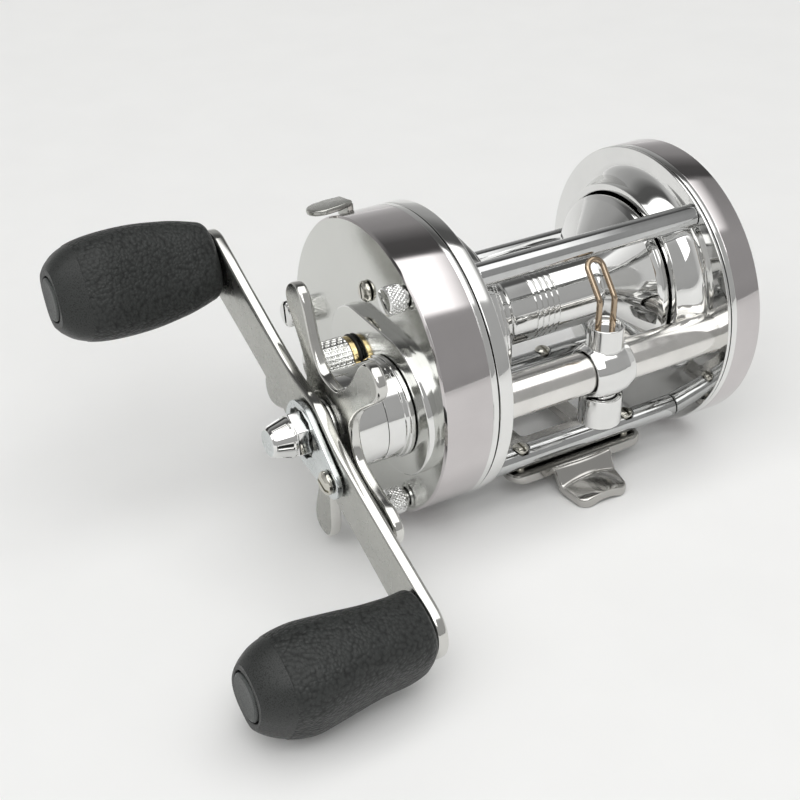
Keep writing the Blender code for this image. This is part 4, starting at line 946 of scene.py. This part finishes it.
def carriage_pieces():
    """The carriage, cast in one piece with its cup and stub, and the cap over the pawl."""
    half = [(0, 5.8, 0), (1.4, 5.74, 0), (2.8, 5.53, 0), (4.2, 4.98, 0.2), (4.6, 4.8, 0.15), (4.6, 4.5, 0.1)]
    bulge = lathe([(CARRIAGE_X - x, r, f) for x, r, f in reversed(half[1:])]
                  + [(CARRIAGE_X + x, r, f) for x, r, f in half], WORM, 128, 0.1)
    at = upright(CARRIAGE_X, *WORM)
    cup = lathe([(4.9, 0), (4.9, 3.6), (9.7, 3.6, 0.12), (9.7, 3.15, 0.12), (8.6, 3.0, 0.4), (8.6, 0)],
                steps=96, radius=0.1)
    stub = lathe([(-7.2, 0), (-7.2, 3.1, 0.2), (-5.2, 3.1), (-5.2, 0)], steps=96, radius=0.1)
    made = replace("levelwind_carriage", joined(bulge, placed(cup, at), placed(stub, at)), "chrome")
    remesh = made.modifiers.new("cast", "REMESH")
    remesh.mode = "VOXEL"
    remesh.voxel_size = 0.14 * MM
    relax = made.modifiers.new("relax", "SMOOTH")
    relax.factor = 0.5
    relax.iterations = 6
    drill = lathe([(0, 0), (0, 0.75), (6, 0.75), (6, 0)], steps=32, radius=0)
    inward = Matrix.Rotation(math.pi / 2, 4, "Z") @ Matrix.Translation((3.0, 0, 0))
    slant = Matrix.Translation((CARRIAGE_X - 1.9, *WORM)) @ Matrix.Rotation(math.radians(-128), 4, "X")
    hole = make_object("oil_hole_cutter", placed(drill, slant @ inward), ["chrome"])
    cut = made.modifiers.new("oil_hole", "BOOLEAN")
    cut.operation = "DIFFERENCE"
    cut.object = hole
    cut.solver = "MANIFOLD"
    apply_modifiers(made)
    made.data.shade_smooth()
    made.data.set_sharp_from_angle(angle=math.radians(50))

    cap = [(-12.5, 0), (-12.5, 3.6, 0.15), (-11.9, 4.3, 0.25), (-5.7, 4.3, 0.2), (-5.7, 3.4, 0.1), (-7.5, 3.4),
           (-7.5, 0)]
    replace("pawl_cap", placed(lathe(cap, steps=96, radius=0.15), at), "chrome")


def wire_piece():
    """The bent wire loop that guides the line, with both legs in the carriage's cup."""
    half, thick, y0, z0 = 1.75, 0.6, WORM[0] + 0.3, WORM[1]
    knee, top = z0 + 14.8, Vector((0, y0 + 5.4, z0 + 21.0))
    lean = Vector((0, top.y - y0, top.z - knee)).normalized()
    side = [Vector((0, y0, z0 + 6.2)), Vector((0, y0, z0 + 12)), Vector((0, y0, knee - 1.6)),
            Vector((0, y0, knee)) + 0.12 * lean - Vector((0, 0, 0.2)), Vector((0, y0, knee)) + 1.5 * lean,
            top - 2.5 * lean]
    right = [point + Vector((half, 0, 0)) for point in side]
    left = [point - Vector((half, 0, 0)) for point in reversed(side)]
    middle = top - half * lean
    bow = [middle + half * (math.cos(a) * Vector((1, 0, 0)) + math.sin(a) * lean)
           for a in (math.pi * i / 8 for i in range(9))]
    path = [point + Vector((CARRIAGE_X, 0, 0)) for point in smooth_path(right + bow + left, 6)]
    replace("wire_guide", tube(path, thick, 20), "bronze")


# ---------------------------------------------------------------- studio


def blend(tree, factor, first, second):
    """Blends two colours by a factor. The second may be a plain colour."""
    mixed = tree.nodes.new("ShaderNodeMix")
    mixed.data_type = "RGBA"
    sockets = {socket.identifier: socket for socket in (*mixed.inputs, *mixed.outputs)}
    tree.links.new(factor, sockets["Factor_Float"])
    tree.links.new(first, sockets["A_Color"])
    if isinstance(second, tuple):
        sockets["B_Color"].default_value = (*second, 1)
    else:
        tree.links.new(second, sockets["B_Color"])
    return sockets["Result_Color"]


def fade(tree, value, start, end):
    """Runs from 0 to 1 as a value goes from start to end."""
    made = tree.nodes.new("ShaderNodeMapRange")
    made.inputs["From Min"].default_value = start
    made.inputs["From Max"].default_value = end
    tree.links.new(value, made.inputs["Value"])
    return made.outputs["Result"]


def lay_floor():
    """A plain pale floor just under the reel."""
    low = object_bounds()[0].z
    floor = make_object("floor", box((-6000, -6000, -10), (6000, 6000, 0)), [])
    floor.location = (0, 0, low - 0.0002)
    paper, tree, shader = new_material("floor_paper")
    grain = texture(tree, "Noise", 40, detail=2)
    tone = ramp(tree, grain.outputs["Fac"], [(0.3, (0.885, 0.885, 0.88)), (0.7, (0.90, 0.90, 0.895))])
    tree.links.new(tone, shader.inputs["Base Color"])
    shader.inputs["Roughness"].default_value = 0.9
    shader.inputs["Specular IOR Level"].default_value = 0.1
    floor.data.materials.append(paper)


# Brightness of the studio round the X axis, by degrees: 0 is level in front, 90 is straight up.
ROOM = [(-180, 0.86), (-1, 0.80), (0, 0.37), (12, 0.41), (50, 0.42), (106, 0.30), (110, 0.09), (122, 0.10),
        (132, 0.20), (142, 0.33), (151, 0.37), (163, 0.43), (176, 0.60), (180, 0.86)]
SOFTBOX = [(54, 0.5), (58, 1.9), (103, 1.9), (106, 0.15)]
ROOM_WITH_SOFTBOX = ROOM[:5] + SOFTBOX + ROOM[6:]


def light_room():
    """A studio in bands round the X axis, with a softbox above on the handle's side and calm ends."""
    world = bpy.data.worlds.new("studio")
    world.use_nodes = True
    bpy.context.scene.world = world
    tree = world.node_tree
    coordinates = tree.nodes.new("ShaderNodeTexCoord")
    split = tree.nodes.new("ShaderNodeSeparateXYZ")
    tree.links.new(coordinates.outputs["Generated"], split.inputs[0])
    x, y, z = split.outputs
    angle = arithmetic(tree, "ARCTAN2", z, arithmetic(tree, "MULTIPLY", y, -1.0))
    share = arithmetic(tree, "MULTIPLY_ADD", angle, 1 / math.tau, 0.5)
    sides = []
    for stops in (ROOM, ROOM_WITH_SOFTBOX):
        sides.append(ramp(tree, share, [(at / 360 + 0.5, (v, v, v * 0.99)) for at, v in stops]))
    banded = blend(tree, fade(tree, x, 0.62, 0.50), *sides)
    ends = fade(tree, arithmetic(tree, "ABSOLUTE", x), 0.76, 0.95)
    calm = blend(tree, ends, banded, (0.62, 0.62, 0.615))
    tree.links.new(calm, tree.nodes["Background"].inputs["Color"])


def hang_lamp():
    """A large soft lamp above, in front and towards the handle."""
    key = bpy.data.lights.new("key", "AREA")
    key.shape = "RECTANGLE"
    key.size, key.size_y, key.energy = 0.5, 0.4, 1.2
    lamp = bpy.data.objects.new("key", key)
    lamp.location = (-0.25, -0.45, 0.55)
    lamp.rotation_mode = "QUATERNION"
    lamp.rotation_quaternion = (Vector((0, 0, 0.03)) - lamp.location).to_track_quat("-Z", "Y")
    bpy.context.scene.collection.objects.link(lamp)


def set_camera():
    """A camera in front, above and towards the handle."""
    camera = bpy.data.cameras.new("camera")
    camera.lens, camera.sensor_width = 67.57, 36.0
    camera.clip_start, camera.clip_end = 0.01, 20.0
    eye = bpy.data.objects.new("camera", camera)
    right = Vector((0.8635, -0.5043, -0.0035))
    down = Vector((-0.2726, -0.4609, -0.8445))
    ahead = Vector((0.4243, 0.7302, -0.5355))
    turn = Matrix((right, -down, -ahead)).transposed().to_4x4()
    eye.matrix_world = Matrix.Translation((-0.1615, -0.2215, 0.1788)) @ turn
    bpy.context.scene.collection.objects.link(eye)
    bpy.context.scene.camera = eye
    bpy.context.scene.view_settings.view_transform = "Standard"
    bpy.context.scene.view_settings.look = "None"


frame_pieces()
foot_piece()
handle_cover()
palm_cover()
thumb_and_cover_screws()
drive_pieces()
star_piece()
handle_pieces()
knob_pieces()
lever_piece()
spool_pieces()
level_wind_pieces()
carriage_pieces()
wire_piece()

# The hidden pieces inside keep their CAD shapes.
for look, nodes in {
        "steel": ("bridge_plate", "drag_pressure_plate", "one_way_bearing", "clutch_yoke", "yoke_spring_1",
                  "yoke_spring_2", "bearing_handle_side", "bearing_palm_side", "brake_ring", "pawl"),
        "brass": ("drive_gear", "pinion", "levelwind_cog", "brake_carrier"),
        "nylon": ("worm_gear", "brake_block_1", "brake_block_2"),
        "fibre": ("drag_washer",)}.items():
    for node in nodes:
        carry(node, look)

lay_floor()
light_room()
hang_lamp()
set_camera()
